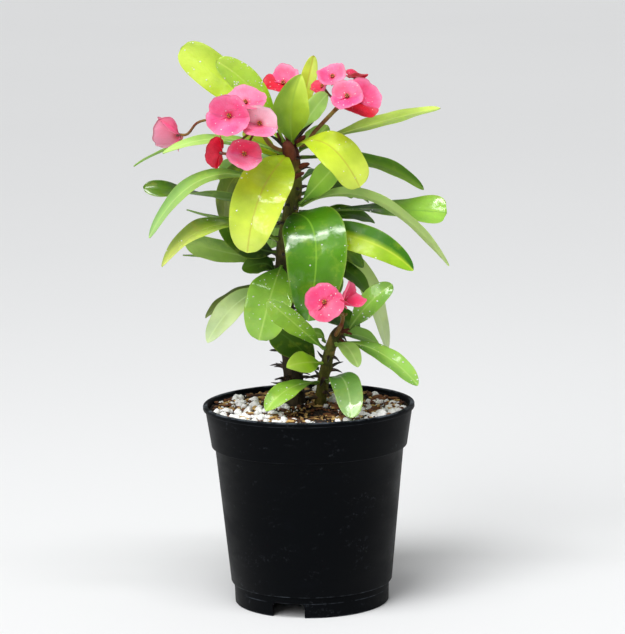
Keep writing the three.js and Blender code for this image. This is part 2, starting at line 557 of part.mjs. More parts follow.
function potBody() {
  const under = POT_HEIGHT - LIP_HEIGHT;
  const bandTop = RIM_RADIUS - LIP_OVERHANG;
  const wallTop = BAND_FOOT_RADIUS - STEP_IN;
  const profile = [
    [WALL_FOOT_RADIUS - 5, FLOOR_HEIGHT], [FOOT_RADIUS - 2.2, FLOOR_HEIGHT - 1],
    [FOOT_RADIUS - 1.9, 0], [FOOT_RADIUS, 0],
    [SKIRT_RADIUS, SKIRT_HEIGHT - 0.5], [WALL_FOOT_RADIUS, SKIRT_HEIGHT],
    [wallTop, STEP_Z - 0.4], [BAND_FOOT_RADIUS - 0.4, STEP_Z], [BAND_FOOT_RADIUS, STEP_Z + 0.5],
    [bandTop, under], [RIM_RADIUS, under + 0.4],
    [RIM_RADIUS, POT_HEIGHT - 0.5], [RIM_RADIUS - 0.5, POT_HEIGHT],
    [bandTop - POT_WALL, POT_HEIGHT - 0.1],
    [potInside(STEP_Z + 1.7), STEP_Z + 1.7], [potInside(STEP_Z), STEP_Z],
    [potInside(FLOOR_HEIGHT + FLOOR_THICKNESS), FLOOR_HEIGHT + FLOOR_THICKNESS],
  ];
  const [east, north] = [V(1, 0, 0), V(0, 1, 0)];
  const rings = profile.map(([radius, z]) => ringRound(V(0, 0, z), east, north, radius, POT_SIDES));
  return skin(rings).subtract(Manifold.union([...notches(), ...drains()]));
}

// Notches in the foot skirt, with bevelled upper corners.
function notches() {
  const w = NOTCH_WIDTH / 2;
  const [top, bevel] = [NOTCH_HEIGHT, NOTCH_BEVEL];
  const shape = [[-w, -1], [w, -1], [w, top - bevel], [w - bevel, top], [bevel - w, top], [-w, top - bevel]];
  return Array.from({ length: NOTCHES }, (_, k) => {
    const turn = NOTCH_TURN + (360 / NOTCHES) * k;
    const rings = [FOOT_RADIUS - 6, SKIRT_RADIUS + 4].map((x) => shape.map(([y, z]) => V(x, y, z)));
    return skin(rings).rotate([0, 0, turn]);
  });
}

function drains() {
  return Array.from({ length: DRAIN_HOLES }, (_, k) => {
    const turn = (2 * Math.PI * (k + 0.5)) / DRAIN_HOLES;
    return Manifold.cylinder(8, DRAIN_RADIUS, DRAIN_RADIUS, 12)
      .translate([DRAIN_CIRCLE * Math.cos(turn), DRAIN_CIRCLE * Math.sin(turn), FLOOR_HEIGHT - 4]);
  });
}

// ---- assembly -----------------------------------------------------------------------------
function piece(name, solid, finish) {
  const mesh = solid.getMesh();
  const geometry = new THREE.BufferGeometry();
  geometry.setAttribute('position', new THREE.BufferAttribute(new Float32Array(mesh.vertProperties), 3));
  geometry.setIndex(new THREE.BufferAttribute(new Uint32Array(mesh.triVerts), 1));
  geometry.computeVertexNormals();
  const [color, roughness] = FINISH[finish];
  const result = new THREE.Mesh(geometry, new THREE.MeshStandardMaterial({ color, roughness, metalness: 0 }));
  result.name = name;
  return result;
}

// Points over every leaf and stalk with the room to keep, used to leave spines off where these pass.
function crowding() {
  const points = [];
  for (const leaf of LEAVES) {
    for (const station of leafFrames(leaf, evenShares(27))) {
      for (const share of [-1, -0.5, 0, 0.5, 1]) {
        const p = station.centre.clone().addScaledVector(station.side, share * station.reach)
          .addScaledVector(station.up, Math.abs(share) * leaf[8] * station.reach);
        points.push({ p, keep: 1.9 });
      }
    }
  }
  for (const head of Object.values(HEADS)) {
    const knee = at(head.knee);
    const runs = [[rootOn(...head.stem, knee).point, knee], [knee, at(head.fork)]];
    head.blooms.forEach((bloom) => runs.push([at(head.fork), at(bloom[0])]));
    for (const [a, b] of runs) {
      for (let t = 0; t <= 1; t += 0.1) points.push({ p: a.clone().lerp(b, t), keep: 2.2 });
    }
  }
  return points;
}

function build() {
  const group = new THREE.Group();
  group.name = 'potted_euphorbia';
  const blades = crowding();
  group.add(piece('pot', potBody(), 'pot'));
  group.add(piece('soil', soilBody(Object.keys(STEMS)), 'soil'));
  group.add(piece('main_stem', stemBody('main', blades), 'stem'));
  group.add(piece('side_stem', stemBody('side', blades), 'stem'));
  LEAVES.forEach((leaf, i) => {
    group.add(piece(`leaf_${leaf[0]}`, leafBody(leaf, i), TINT[leaf[0]] ?? 'leaf'));
  });
  for (const [name, head] of Object.entries(HEADS)) group.add(piece(name, headBody(head), 'bloom'));
  const box = new THREE.Box3().setFromObject(group);
  const centre = box.getCenter(V(0, 0, 0));
  group.children.forEach((mesh) => mesh.geometry.translate(-centre.x, -centre.y, 0));
  return group;
}

export default build();
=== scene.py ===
"""Potted crown of thorns: the looks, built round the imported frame.

Lengths are in mm, with the pot's axis as z, until Mesh.shape() turns them to metres.
"""
import math
from collections import namedtuple

import bmesh
import bpy
import numpy as np
from mathutils import Matrix, Vector


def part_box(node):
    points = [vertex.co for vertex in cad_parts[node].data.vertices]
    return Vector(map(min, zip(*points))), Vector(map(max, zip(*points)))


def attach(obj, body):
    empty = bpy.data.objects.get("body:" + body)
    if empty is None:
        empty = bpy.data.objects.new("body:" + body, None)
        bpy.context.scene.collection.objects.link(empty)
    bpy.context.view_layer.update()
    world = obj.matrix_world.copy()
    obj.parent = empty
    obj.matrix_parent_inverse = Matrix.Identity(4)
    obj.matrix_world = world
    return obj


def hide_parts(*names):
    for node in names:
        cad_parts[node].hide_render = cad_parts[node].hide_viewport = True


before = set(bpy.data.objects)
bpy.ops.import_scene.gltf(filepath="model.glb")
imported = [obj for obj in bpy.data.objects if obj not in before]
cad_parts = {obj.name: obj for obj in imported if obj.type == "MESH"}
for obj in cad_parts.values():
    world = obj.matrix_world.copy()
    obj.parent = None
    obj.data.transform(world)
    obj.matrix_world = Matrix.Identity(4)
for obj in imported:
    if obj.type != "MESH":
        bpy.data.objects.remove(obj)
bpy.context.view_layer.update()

# ---- the pot's sizes ----
POT_LO, POT_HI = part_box("pot")
AXIS = np.array([(POT_LO[0] + POT_HI[0]) / 2, (POT_LO[1] + POT_HI[1]) / 2, 0.0]) * 1000
POT_HEIGHT = POT_HI[2] * 1000
RIM_RADIUS = (POT_HI[0] - POT_LO[0]) * 500
LIP_HEIGHT = 2.5
LIP_OVERHANG = 1.2
BAND_HEIGHT = 20.3
BAND_FOOT_RADIUS = 53.5
STEP_IN = 2.0
SKIRT_HEIGHT = 11.7
WALL_FOOT_RADIUS = 44.2
SKIRT_RADIUS = 42.6
FOOT_RADIUS = 42.2
POT_WALL = 1.3
FLOOR_HEIGHT = 9.0
FLOOR_THICKNESS = 1.5
NOTCHES = 3
NOTCH_WIDTH = 18.2
NOTCH_HEIGHT = 7.8
NOTCH_BEVEL = 2.4
NOTCH_TURN = -108
DRAIN_HOLES = 8
DRAIN_RADIUS = 3.5
DRAIN_CIRCLE = 30
STEP_Z = POT_HEIGHT - LIP_HEIGHT - BAND_HEIGHT
SOIL_LEVEL = 106.6

FIT_GAP = 0.3
BRACT_SPREAD = 118  # degrees from the middle of a bract to its side
FOLD = 0.7  # radians that a fully cupped bract folds forward
BOWL = 0.6  # depth of a fully cupped bract as a share of its length
PETIOLE = 1.7
SPINE_LENGTH = 8.2  # at the foot of a stem
SPINE_SHORTENING = 0.015  # per mm of height
FIRST_SPINE = 112.0
GOLDEN = 137.5  # degrees from one pair of spines to the next
LEAF_ROOM, STALK_ROOM, STEM_ROOM = 1.9, 2.2, 6.5  # what spines keep from these

STEMS = {  # points on the middle line with the radius there
    "main": [
        (-6.5, 12, 80, 5.3), (-7.0, 12, 106, 5.5), (-8.6, 12, 126, 5.2), (-10.4, 11, 146, 5.0),
        (-12, 10, 165, 4.7), (-12.7, 9, 183, 4.5), (-11.4, 8, 198, 4.3), (-8.4, 7, 212, 4.2),
        (-5.6, 6, 226, 4.0), (-5.8, 5, 238, 3.9), (-7, 4, 249, 3.6), (-7.4, 3.6, 254, 2.8),
        (-7.6, 3.4, 257.5, 1.3),
    ],
    "side": [
        (5.5, 9, 80, 2.9), (6.3, 8, 107, 3.4), (7.8, 4, 119, 3.3), (10.2, -2, 132, 3.2),
        (12.8, -6, 142.5, 3.1), (17.2, -10, 151.3, 2.8), (18.2, -11, 153.6, 1.4),
    ],
}
SPINE_PITCH = {"main": 3.3, "side": 4.2}
SPINE_SEED = {"main": 411, "side": 733, "foot": 977}
CROWN_FOOT = {"main": 236, "side": 147}  # height where the bark turns brown
THORNS = [(252.5, (5.2, -5, 263.5)), (249, (-19.6, 1, 257))]  # height on the main stem, tip

# Brown stubs and young shoots under the crown: root, tip, radius
STUBS = {
    "main": [((-7.5, 1, 244), (-9.5, -4.5, 253), 3.6), ((-10, 4, 250), (-14.5, 0, 257.5), 1.5),
             ((-5, 2, 250), (0.5, -3.5, 256), 1.6), ((-7, 2, 252), (-7, -3, 260), 1.7),
             ((-9, 5, 240), (-14.5, 1.5, 246), 1.3), ((-4, 4, 238), (2.5, 0.5, 240.5), 1.4),
             ((-7, 3, 232), (-0.5, -2, 236), 1.3)],
    "side": [((16.5, -10, 149), (22.5, -14, 152.5), 1.0), ((17, -10, 151), (24, -11, 149), 0.9),
             ((16, -9, 147), (20.5, -14, 144.5), 0.9), ((17.5, -11, 152), (19.5, -14, 157), 1.0)],
}

# height: where it leaves the stem; middle, tip: points of its curve; face: the way its upper face looks;
# fullest: share of the length where it is widest; fold: rise of the sides; blunt: roundness of the tip
Leaf = namedtuple("Leaf", "name height middle tip width face fullest fold blunt tone")
LEAVES = [Leaf(*row) for row in (
    ("top_far_left", 251, (-36, 16, 278), (-66, 26, 302.5), 20, (-0.5, -0.8, 0.5), 0.72, 0.12, 2.9, "zest"),
    ("top_left", 253, (-25, -7, 279), (-46, -14, 297.5), 15.5, (-0.3, -0.6, 0.74), 0.68, 0.18, 2.6, "spring"),
    ("top_upright", 252, (-6.5, -8, 271.5), (-1, -10, 289.5), 20, (0, -1, 0.2), 0.52, 0.45, 1.4, "fold"),
    ("top_back", 251, (1, 20, 277), (6, 25, 297), 9, (0, -1, 0.2), 0.66, 0.3, 2.4, "lime"),
    ("top_right_short", 254.5, (4, 3, 267), (13, -1, 278), 12, (-0.4, -0.8, 0.4), 0.62, 0.2, 2.6, "mint"),
    ("top_right_long", 248, (36, 10, 260), (74, 15, 268), 16, (0.02, -0.28, 0.95), 0.66, 0.15, 2.0, "long"),
    ("front_right_lime", 251, (13, -18, 252), (29, -22, 230), 24, (0.3, -0.8, 0.6), 0.62, 0.1, 2.8, "lime"),
    ("front_lime", 246, (-23.5, -30, 228), (-31, -37, 198), 28, (-0.1, -0.9, 0.3), 0.42, 0.08, 2.8, "lime"),
    ("right_dark", 243, (37, 20, 238), (65, 26, 222.5), 15.5, (-0.3, -0.5, 0.8), 0.6, 0.18, 2.2, "moss"),
    ("right_inner", 220, (10, -6, 233), (20.5, -8, 244.5), 14.5, (-0.3, -0.9, 0.3), 0.6, 0.12, 2, "fresh"),
    ("right_back", 224, (18, 26, 224), (35, 34, 215), 18, (0.1, -0.4, 0.9), 0.62, 0.15, 2.0, "deep"),
    ("right_arch", 219, (37, -12, 222.5), (76, -22, 187), 12, (0.25, 0.62, 0.75), 0.52, 0.12, 1.7, "jade"),
    ("right_curled", 215, (35, 16, 213.5), (77, 14, 211), 22, (0.1, -0.25, 0.95), 0.86, 0.14, 3, "curl"),
    ("front_gloss", 214, (5, -30, 203), (0.5, -34, 160.5), 33.5, (0, -0.95, 0.3), 0.4, 0.1, 2.2, "rich"),
    ("right_broad", 206, (32, -16, 200.5), (57, -20, 184.5), 17, (-0.3, -0.8, 0.5), 0.52, 0.12, 1.8, "broad"),
    ("right_low_back", 210, (22, 24, 210), (38, 30, 204), 16, (0.1, -0.4, 0.9), 0.62, 0.15, 2.0, "deep"),
    ("right_inner_low", 199, (16, 10, 195), (31, 12, 182), 15, (0.1, -0.6, 0.8), 0.62, 0.15, 2.0, "deep"),
    ("right_hanging", 196, (27.5, 20, 180.5), (44, 26, 133), 16, (0.8, -0.6, 0.2), 0.55, 0.1, 2, "hang"),
    ("right_inner_back", 184, (18, 6, 183), (33, 4, 168), 15, (0.3, -0.5, 0.8), 0.62, 0.15, 2.0, "deep"),
    ("branch_up", 151, (33, -18, 166.5), (46, -16, 176.5), 13.5, (-0.4, -0.85, 0.3), 0.62, 0.1, 2.2, "green"),
    ("branch_right", 147, (39, -20, 140), (58.5, -28, 123.5), 13.5, (0.2, -0.6, 0.75), 0.6, 0.15, 2, "green"),
    ("branch_back", 148, (29, 6, 145), (39, 10, 139), 14, (0.1, -0.6, 0.8), 0.62, 0.15, 2.0, "green"),
    ("branch_pale", 146, (21, -26, 144.5), (26.5, -38, 136), 10, (0.2, -0.8, 0.6), 0.55, 0.15, 2.2, "mint"),
    ("low_front", 124, (19, -25, 126.5), (22.5, -46, 110), 15.4, (0.1, -0.9, 0.5), 0.54, 0.12, 2.9, "streak"),
    ("low_left", 122, (-10.5, -18, 121), (-23, -28, 111), 13.5, (-0.2, -0.7, 0.7), 0.64, 0.12, 1.8, "fresh"),
    ("low_inner", 133, (-2, -17, 135), (-11.5, -24, 134), 13.5, (0, -0.85, 0.5), 0.58, 0.16, 1.5, "spring"),
    ("low_dark", 128, (-7, -8, 144), (-21, -12, 154.5), 20, (-0.4, -0.9, 0.1), 0.6, 0.12, 2, "deep"),
    ("drops", 141, (-8, -30.5, 160), (-20.5, -42, 173.5), 15, (-0.5, -0.8, 0.4), 0.6, 0.15, 2.3, "fresh"),
    ("front_low", 185, (-19, -19, 173), (-26, -21.5, 148.5), 25, (-0.1, -0.95, 0.3), 0.54, 0.1, 2.6, "fresh"),
    ("left_pale", 174, (-38, -6, 166), (-54, -12, 146), 16, (-0.6, -0.8, 0.2), 0.6, 0.1, 1.6, "pale"),
    ("left_arc", 170, (-37, 18, 168.5), (-56, 22, 154), 15, (-0.3, -0.25, 0.92), 0.64, 0.15, 2.4, "olive"),
    ("left_under", 187, (-40, 12, 191), (-66, 14, 198), 15, (0, -0.9, -0.4), 0.7, 0.1, 2.3, "under"),
    ("left_arch", 199, (-49, -18, 210), (-77, -24, 189.5), 19, (-0.4, -0.4, 0.8), 0.58, 0.2, 1.7, "sunlit"),
    ("left_spike", 205, (-38, 34, 205), (-66, 48, 211), 12, (0, 0.2, 0.95), 0.6, 0.2, 1.6, "deep"),
    ("left_long", 223, (-51, -20, 236.5), (-83, -28, 205.5), 14, (-0.4, -0.5, 0.8), 0.64, 0.15, 1.7, "sage"),
    ("left_dark", 217, (-52, 12, 223), (-88, 14, 228), 15, (0, 0.35, 0.93), 0.66, 0.12, 2.6, "deep"),
    ("left_behind", 227, (-37, 22, 232), (-44, 26, 205), 18, (-0.7, -0.6, 0.3), 0.6, 0.1, 2.2, "olive"),
    ("left_pale_top", 247, (-44, -12, 256), (-75, -24, 250), 11, (-0.2, -0.4, 0.9), 0.6, 0.15, 1.6, "mint"),
    ("left_blade", 243, (-54, 12, 252), (-93, 18, 239), 12, (-0.2, 0.05, 1), 0.6, 0.15, 1.6, "green"),
    ("branch_small", 143, (6.5, -8, 149), (0.5, -10, 149.5), 6, (0, -0.8, 0.6), 0.55, 0.15, 1.8, "green"),
    ("left_under_back", 183, (-41, 24, 186), (-68, 30, 188), 12, (0, 0.1, 1), 0.62, 0.15, 1.6, "deep"),
    ("left_up", 192, (-31, 1, 198), (-47, 2, 212), 16, (-0.3, -0.85, 0.3), 0.44, 0.12, 2, "deep"),
    ("crown_young", 244, (-21, 2, 250), (-33, 2, 258), 11, (-0.2, -0.7, 0.7), 0.6, 0.2, 2.0, "lime"),
    ("crown_right", 246, (5, 16, 252), (13, 22, 259), 12, (0, -0.7, 0.7), 0.6, 0.2, 2.0, "green"),
    ("stem_young", 182, (-23, 5, 186), (-35, 8, 183), 12, (-0.2, -0.8, 0.6), 0.5, 0.12, 2, "deep"),
    ("low_right_back", 165, (11, 22, 156), (29, 24, 147), 18, (0.2, -0.6, 0.8), 0.62, 0.12, 2.0, "deep"),
    ("back_left", 238, (-30, 42, 240), (-44, 62, 222), 22, (-0.3, 0.5, 0.8), 0.64, 0.12, 2.2, "green"),
    ("back_right", 230, (14, 42, 232), (26, 64, 214), 22, (0.2, 0.5, 0.8), 0.64, 0.12, 2.2, "rich"),
    ("back_low", 205, (-14, 42, 208), (-20, 66, 186), 23, (0, 0.55, 0.8), 0.64, 0.12, 2.2, "green"),
    ("back_low_right", 190, (6, 38, 180), (14, 56, 158), 20, (0.2, 0.7, 0.7), 0.64, 0.12, 2.2, "rich"),
    ("back_top", 248, (-6, 32, 262), (-4, 56, 258), 19, (0, 0.1, 0.99), 0.66, 0.15, 2.3, "spring"),
)]
TWISTS = {"right_curled": 60, "left_dark": -150}  # degrees over the length
ON_SIDE_STEM = ("branch_up", "branch_right", "branch_back", "branch_pale",
                "low_front", "low_left", "low_inner", "low_dark", "drops", "branch_small")
TONES = {  # sRGB at the foot, in the middle, at the tip and of the midrib; how dark one side is, as painted shade where the leaf turns or folds away from the light
    "lime": ((164, 194, 34), (206, 230, 44), (214, 234, 92), (178, 160, 58), 0.1),
    "zest": ((160, 202, 64), (196, 226, 50), (200, 226, 84), (192, 222, 44), 0.2),
    "spring": ((108, 164, 24), (182, 234, 50), (198, 236, 88), (208, 236, 108), -0.2),
    "fold": ((112, 150, 24), (182, 216, 52), (204, 230, 88), (150, 190, 60), -0.42),
    "mint": ((126, 174, 62), (180, 224, 112), (186, 226, 124), (202, 232, 146), 0.1),
    "long": ((66, 112, 20), (176, 208, 78), (210, 236, 104), (198, 222, 122), 0.3),
    "sunlit": ((84, 114, 16), (146, 176, 40), (232, 246, 120), (206, 222, 112), 0.3),
    "broad": ((60, 116, 12), (192, 220, 30), (152, 202, 42), (206, 222, 74), -0.8),
    "fresh": ((78, 138, 30), (158, 208, 70), (158, 206, 78), (198, 230, 116), 0.2),
    "green": ((74, 122, 24), (144, 194, 74), (152, 202, 88), (184, 218, 116), 0.3),
    "rich": ((52, 106, 6), (86, 144, 10), (80, 138, 16), (144, 194, 54), 0.3),
    "moss": ((56, 98, 12), (124, 170, 32), (128, 172, 42), (134, 176, 62), -0.5),
    # curl: the near-black foot and middle are painted shade, where the curled leaf lies in shadow before it
    # turns to the light
    "curl": ((26, 54, 6), (46, 82, 12), (168, 220, 76), (112, 162, 60), 0.2),
    "jade": ((128, 172, 52), (196, 226, 134), (214, 234, 160), (206, 226, 144), 0.12),
    "sage": ((96, 146, 40), (146, 186, 80), (160, 200, 122), (188, 216, 130), 0.3),
    "hang": ((108, 134, 44), (184, 210, 124), (216, 236, 176), (196, 220, 142), 0.15),
    # pale: the leaf's own light green, made whiter as painted glare
    "pale": ((150, 192, 98), (210, 234, 160), (222, 244, 184), (220, 242, 176), 0.1),
    # deep: dark green of leaves deep in the plant, darkened further as painted shade
    "deep": ((24, 42, 4), (54, 82, 12), (88, 126, 22), (86, 124, 44), 0.3),
    "olive": ((54, 62, 10), (88, 100, 18), (104, 118, 32), (120, 132, 50), 0.3),
    "under": ((40, 66, 10), (128, 164, 52), (166, 196, 96), (152, 182, 88), 0.4),
    "streak": ((62, 114, 34), (116, 166, 72), (164, 204, 122), (182, 214, 136), 0.25),
}
GLOSSY = ("front_gloss", "low_front", "front_lime", "drops", "front_low", "top_left", "right_curled",
          "left_dark", "branch_right", "top_right_long", "left_arch", "low_inner", "branch_up")
DEW = {  # water drops on a leaf
    "top_left": 70, "drops": 36, "front_gloss": 26, "front_low": 34, "top_far_left": 20, "low_front": 16,
    "right_broad": 5, "left_arch": 12, "front_lime": 16, "branch_up": 22, "right_curled": 14, "low_left": 16,
    "front_right_lime": 12, "branch_right": 18,
}
LEAF_DROPS, BRACT_DROPS = (0.12, 0.46), (0.1, 0.3)  # smallest and largest radius
DROPS_ON_BRACT = 12
DEW_SEED, BRACT_DEW_SEED = 61, 300

# Flower heads: where the stalk leaves the stem, its knee and fork, and the blooms it carries as (centre,
# way it faces, width, turn of the two bracts, cupping, redness of the two, point its own stalk passes).
# Redness paints shade as deep red; below zero it paints light as pale pink.
HEADS = {
    "bloom_head_left": (("main", 249), (-17, -7, 251), (-24, -18, 263), [
        ((-38.9, -36, 270.5), (-0.2, -0.95, 0.15), 25.5, 80, 0.45, (0.1, 0), None),
        ((-23.2, -34, 265.8), (-0.05, -0.93, 0.3), 22.3, 70, 0.6, (-0.25, -0.8), None),
        ((-30.5, -28, 275.8), (-0.05, -0.45, 0.85), 25, 90, 0.3, (-0.1, -0.3), None),
        ((-31.7, -33, 250), (0.1, -0.95, 0.1), 20.8, 70, 0.6, (-0.3, 0.6), None),
        ((-43.6, -28, 250), (-0.85, 0.4, 0.1), 19, 0, 0.6, (1, 0.8), None),
        ((-67, -3, 257.8), (-0.9, 0.4, 0.05), 27, -50, 0.9, (0, -0.4), (-57, -10, 264.5)),
    ]),
    "bloom_head_right": (("main", 250), (6, 2.5, 258), (18, -5, 271), [
        ((23.2, -16, 277.7), (-0.1, -0.85, 0.5), 19, 90, 0.4, (0, -0.3), None),
        ((29.6, -6.5, 274.2), (0.2, -0.8, 0.5), 25.5, 52, 0.4, (0.95, -0.1), None),
        ((16, 2, 286.5), (-0.2, -0.6, 0.75), 18.5, 20, 0.45, (-0.1, -0.3), None),
        ((28, 10, 285.8), (0.15, 0, 1), 15, 20, 0.4, (0.8, 0.6), None),
        ((11, 12, 280.5), (-0.5, -0.35, 0.75), 15, 30, 0.5, (0.7, -0.2), None),
    ]),
    "bloom_head_top": (("main", 254), (-10, 9, 260), (-12, 12, 272), [
        ((-10.5, 15, 282.5), (-0.25, -0.6, 0.65), 22.5, 55, 0.45, (0.9, -0.25), None),
    ]),
    "bloom_head_low": (("side", 151), (18, -17, 155), (19, -29, 163), [
        ((9, -49, 172.5), (0.05, -0.85, 0.5), 22.5, 118, 0.2, (0.4, 0.3), (17.5, -42, 165.5)),
        ((18.6, -38, 170.9), (0.78, -0.28, 0.58), 24, 95, 0.8, (0.4, 0.3), None),
    ]),
}


# ---- small helpers ----
EAST, NORTH, UP = np.eye(3)


def vec(*p):
    return np.array(p, float)


def unit(v):
    return v / np.linalg.norm(v)


def linear(rgb):
    c = np.asarray(rgb, float) / 255
    return np.where(c <= 0.04045, c / 12.92, ((c + 0.055) / 1.055) ** 2.4)


def lcg(seed):
    """The frame's own random draw, so that spines and grains fall where the solids have them."""
    state = seed
    while True:
        state = state * 16807 % 2147483647
        yield state / 2147483647


def noise3(p, seed=0):
    """Smooth value noise from 0 to 1 at points (n, 3)."""
    p = np.asarray(p, float)
    i = np.floor(p).astype(np.int64)
    f = p - i
    f = f * f * (3 - 2 * f)
    total = np.zeros(len(p))
    for corner in range(8):
        o = np.array([corner & 1, corner >> 1 & 1, corner >> 2])
        q = i + o
        h = (q[:, 0] * 73856093 ^ q[:, 1] * 19349663 ^ q[:, 2] * 83492791 ^ seed * 2654435761) & 0xFFFFFF
        h = (h * 1103515245 + 12345) & 0x7FFFFFFF
        w = np.prod(np.where(o, f, 1 - f), axis=1)
        total += w * (h % 65536) / 65535
    return total


def fractal(p, octaves=4, seed=0):
    total, scale, weight = np.zeros(len(p)), 1.0, 0.5
    for k in range(octaves):
        total += weight * (noise3(np.asarray(p) * scale, seed + k) - 0.5)
        scale, weight = scale * 2.1, weight * 0.5
    return total


def pick(sizes, random):
    """A size from the first to the second, more often a small one."""
    return sizes[0] + (sizes[1] - sizes[0]) * random.random() ** 2


def put(name, data):
    obj = bpy.data.objects.new(name, data)
    bpy.context.scene.collection.objects.link(obj)
    return obj


class Mesh:
    """Gathers points, faces and per-point numbers or colours of one piece."""

    def __init__(self):
        self.points, self.faces, self.data, self.count = [], [], {}, 0

    def add(self, points, faces, **data):
        points = np.asarray(points, float).reshape(-1, 3)
        self.faces += [tuple(int(v) + self.count for v in f) for f in faces]
        self.points.append(points)
        for name, values in data.items():
            values = np.asarray(values, float)
            if values.ndim == 0 or len(values) != len(points):
                values = np.broadcast_to(values, (len(points), *values.shape))
            self.data.setdefault(name, []).append(values)
        self.count += len(points)

    def shape(self, name):
        me = bpy.data.meshes.new(name)
        me.from_pydata(((np.concatenate(self.points) + AXIS) / 1000).tolist(), [], self.faces)
        return me

    def build(self, name, material, nodes, slot):
        me = self.shape(name)
        for key, runs in self.data.items():
            values = np.concatenate(runs)
            kind, field = "FLOAT", "value"
            if values.ndim > 1:
                kind, field = "FLOAT_COLOR", "color"
                values = np.c_[values, np.ones(len(values))]
            me.attributes.new(key, kind, "POINT").data.foreach_set(field, values.ravel())
        me.validate()
        for polygon in me.polygons:
            polygon.use_smooth = True
        me.materials.append(material)
        obj = put(name, me)
        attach(obj, "root")
        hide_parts(*nodes)
        return obj


def grid_faces(rows, columns, closed=False):
    faces = []
    last = columns if closed else columns - 1
    for i in range(rows - 1):
        for j in range(last):
            k = (j + 1) % columns
            faces.append((i * columns + j, i * columns + k, (i + 1) * columns + k, (i + 1) * columns + j))
    return faces


def capped(rows, columns):
    """Faces of stacked rings, closed at both ends."""
    first, last = range(columns - 1, -1, -1), range((rows - 1) * columns, rows * columns)
    return grid_faces(rows, columns, closed=True) + [tuple(first), tuple(last)]


def circle(count):
    return np.linspace(0, 2 * np.pi, count, endpoint=False)


def spoke(turn, u, v):
    """The direction at an angle, or at each of many, in the plane of u and v."""
    turn = np.asarray(turn)[..., None]
    return np.cos(turn) * u + np.sin(turn) * v


def lathe(profile, columns):
    """Points and faces of a closed round body from its (radius, height) profile."""
    around = spoke(circle(columns), EAST, NORTH)
    return np.concatenate([around * r + UP * z for r, z in profile]), capped(len(profile), columns)


def plate(upper, lower, rows, columns):
    """Points and outward faces of a thin closed sheet from its two faces as (rows, columns, 3)."""
    n = rows * columns
    top = [f[::-1] for f in grid_faces(rows, columns)]
    bottom = [tuple(v + n for v in f) for f in grid_faces(rows, columns)]
    rim = [i * columns for i in range(rows)] + [(rows - 1) * columns + j for j in range(1, columns)]
    rim += [i * columns + columns - 1 for i in range(rows - 2, -1, -1)] + list(range(columns - 2, 0, -1))
    side = [(a, b, b + n, a + n) for a, b in zip(rim, rim[1:] + rim[:1])]
    return np.concatenate([upper.reshape(-1, 3), lower.reshape(-1, 3)]), top + bottom + side


def both(values, rows, columns):
    """Numbers for the points of a plate, alike on its two faces."""
    return np.tile(np.broadcast_to(values, (rows, columns)).ravel(), 2)


def ways(line):
    """The direction of a line at each of its points."""
    way = np.gradient(line, axis=0)
    return way / np.linalg.norm(way, axis=1)[:, None]


def across(direction, hint=(0, 0, 1)):
    side = np.cross(direction, hint)
    if np.linalg.norm(side) < 0.05:
        side = np.cross(direction, (1, 0, 0))
    return unit(side)


def smooth_line(points, count):
    """An even, rounded line through the given rows (any number of columns)."""
    points = np.asarray(points, float)
    step = np.r_[0, np.cumsum(np.maximum(np.linalg.norm(np.diff(points[:, :3], axis=0), axis=1), 1e-6))]
    slope = np.gradient(points, step, axis=0)
    want = np.linspace(0, step[-1], count)
    i = np.clip(np.searchsorted(step, want, side="right") - 1, 0, len(step) - 2)
    h = (step[i + 1] - step[i])[:, None]
    t = (want[:, None] - step[i][:, None]) / h
    a, b = points[i], points[i + 1]
    return ((2 * t**3 - 3 * t**2 + 1) * a + (t**3 - 2 * t**2 + t) * h * slope[i]
            + (-2 * t**3 + 3 * t**2) * b + (t**3 - t**2) * h * slope[i + 1])


def tube(line, radii, sides, relief=None):
    """Points and faces of rings round a line, closed at both ends."""
    way = ways(line)
    u = across(way[0], (0, 1, 0.01))
    rings = []
    for p, w, r in zip(line, way, radii):
        u = unit(u - w * (u @ w))
        out = spoke(circle(sides), u, np.cross(w, u))
        ring = p + out * r
        if relief is not None:
            ring = ring + out * relief(ring)[:, None]
        rings.append(ring)
    return np.concatenate(rings), capped(len(line), sides)


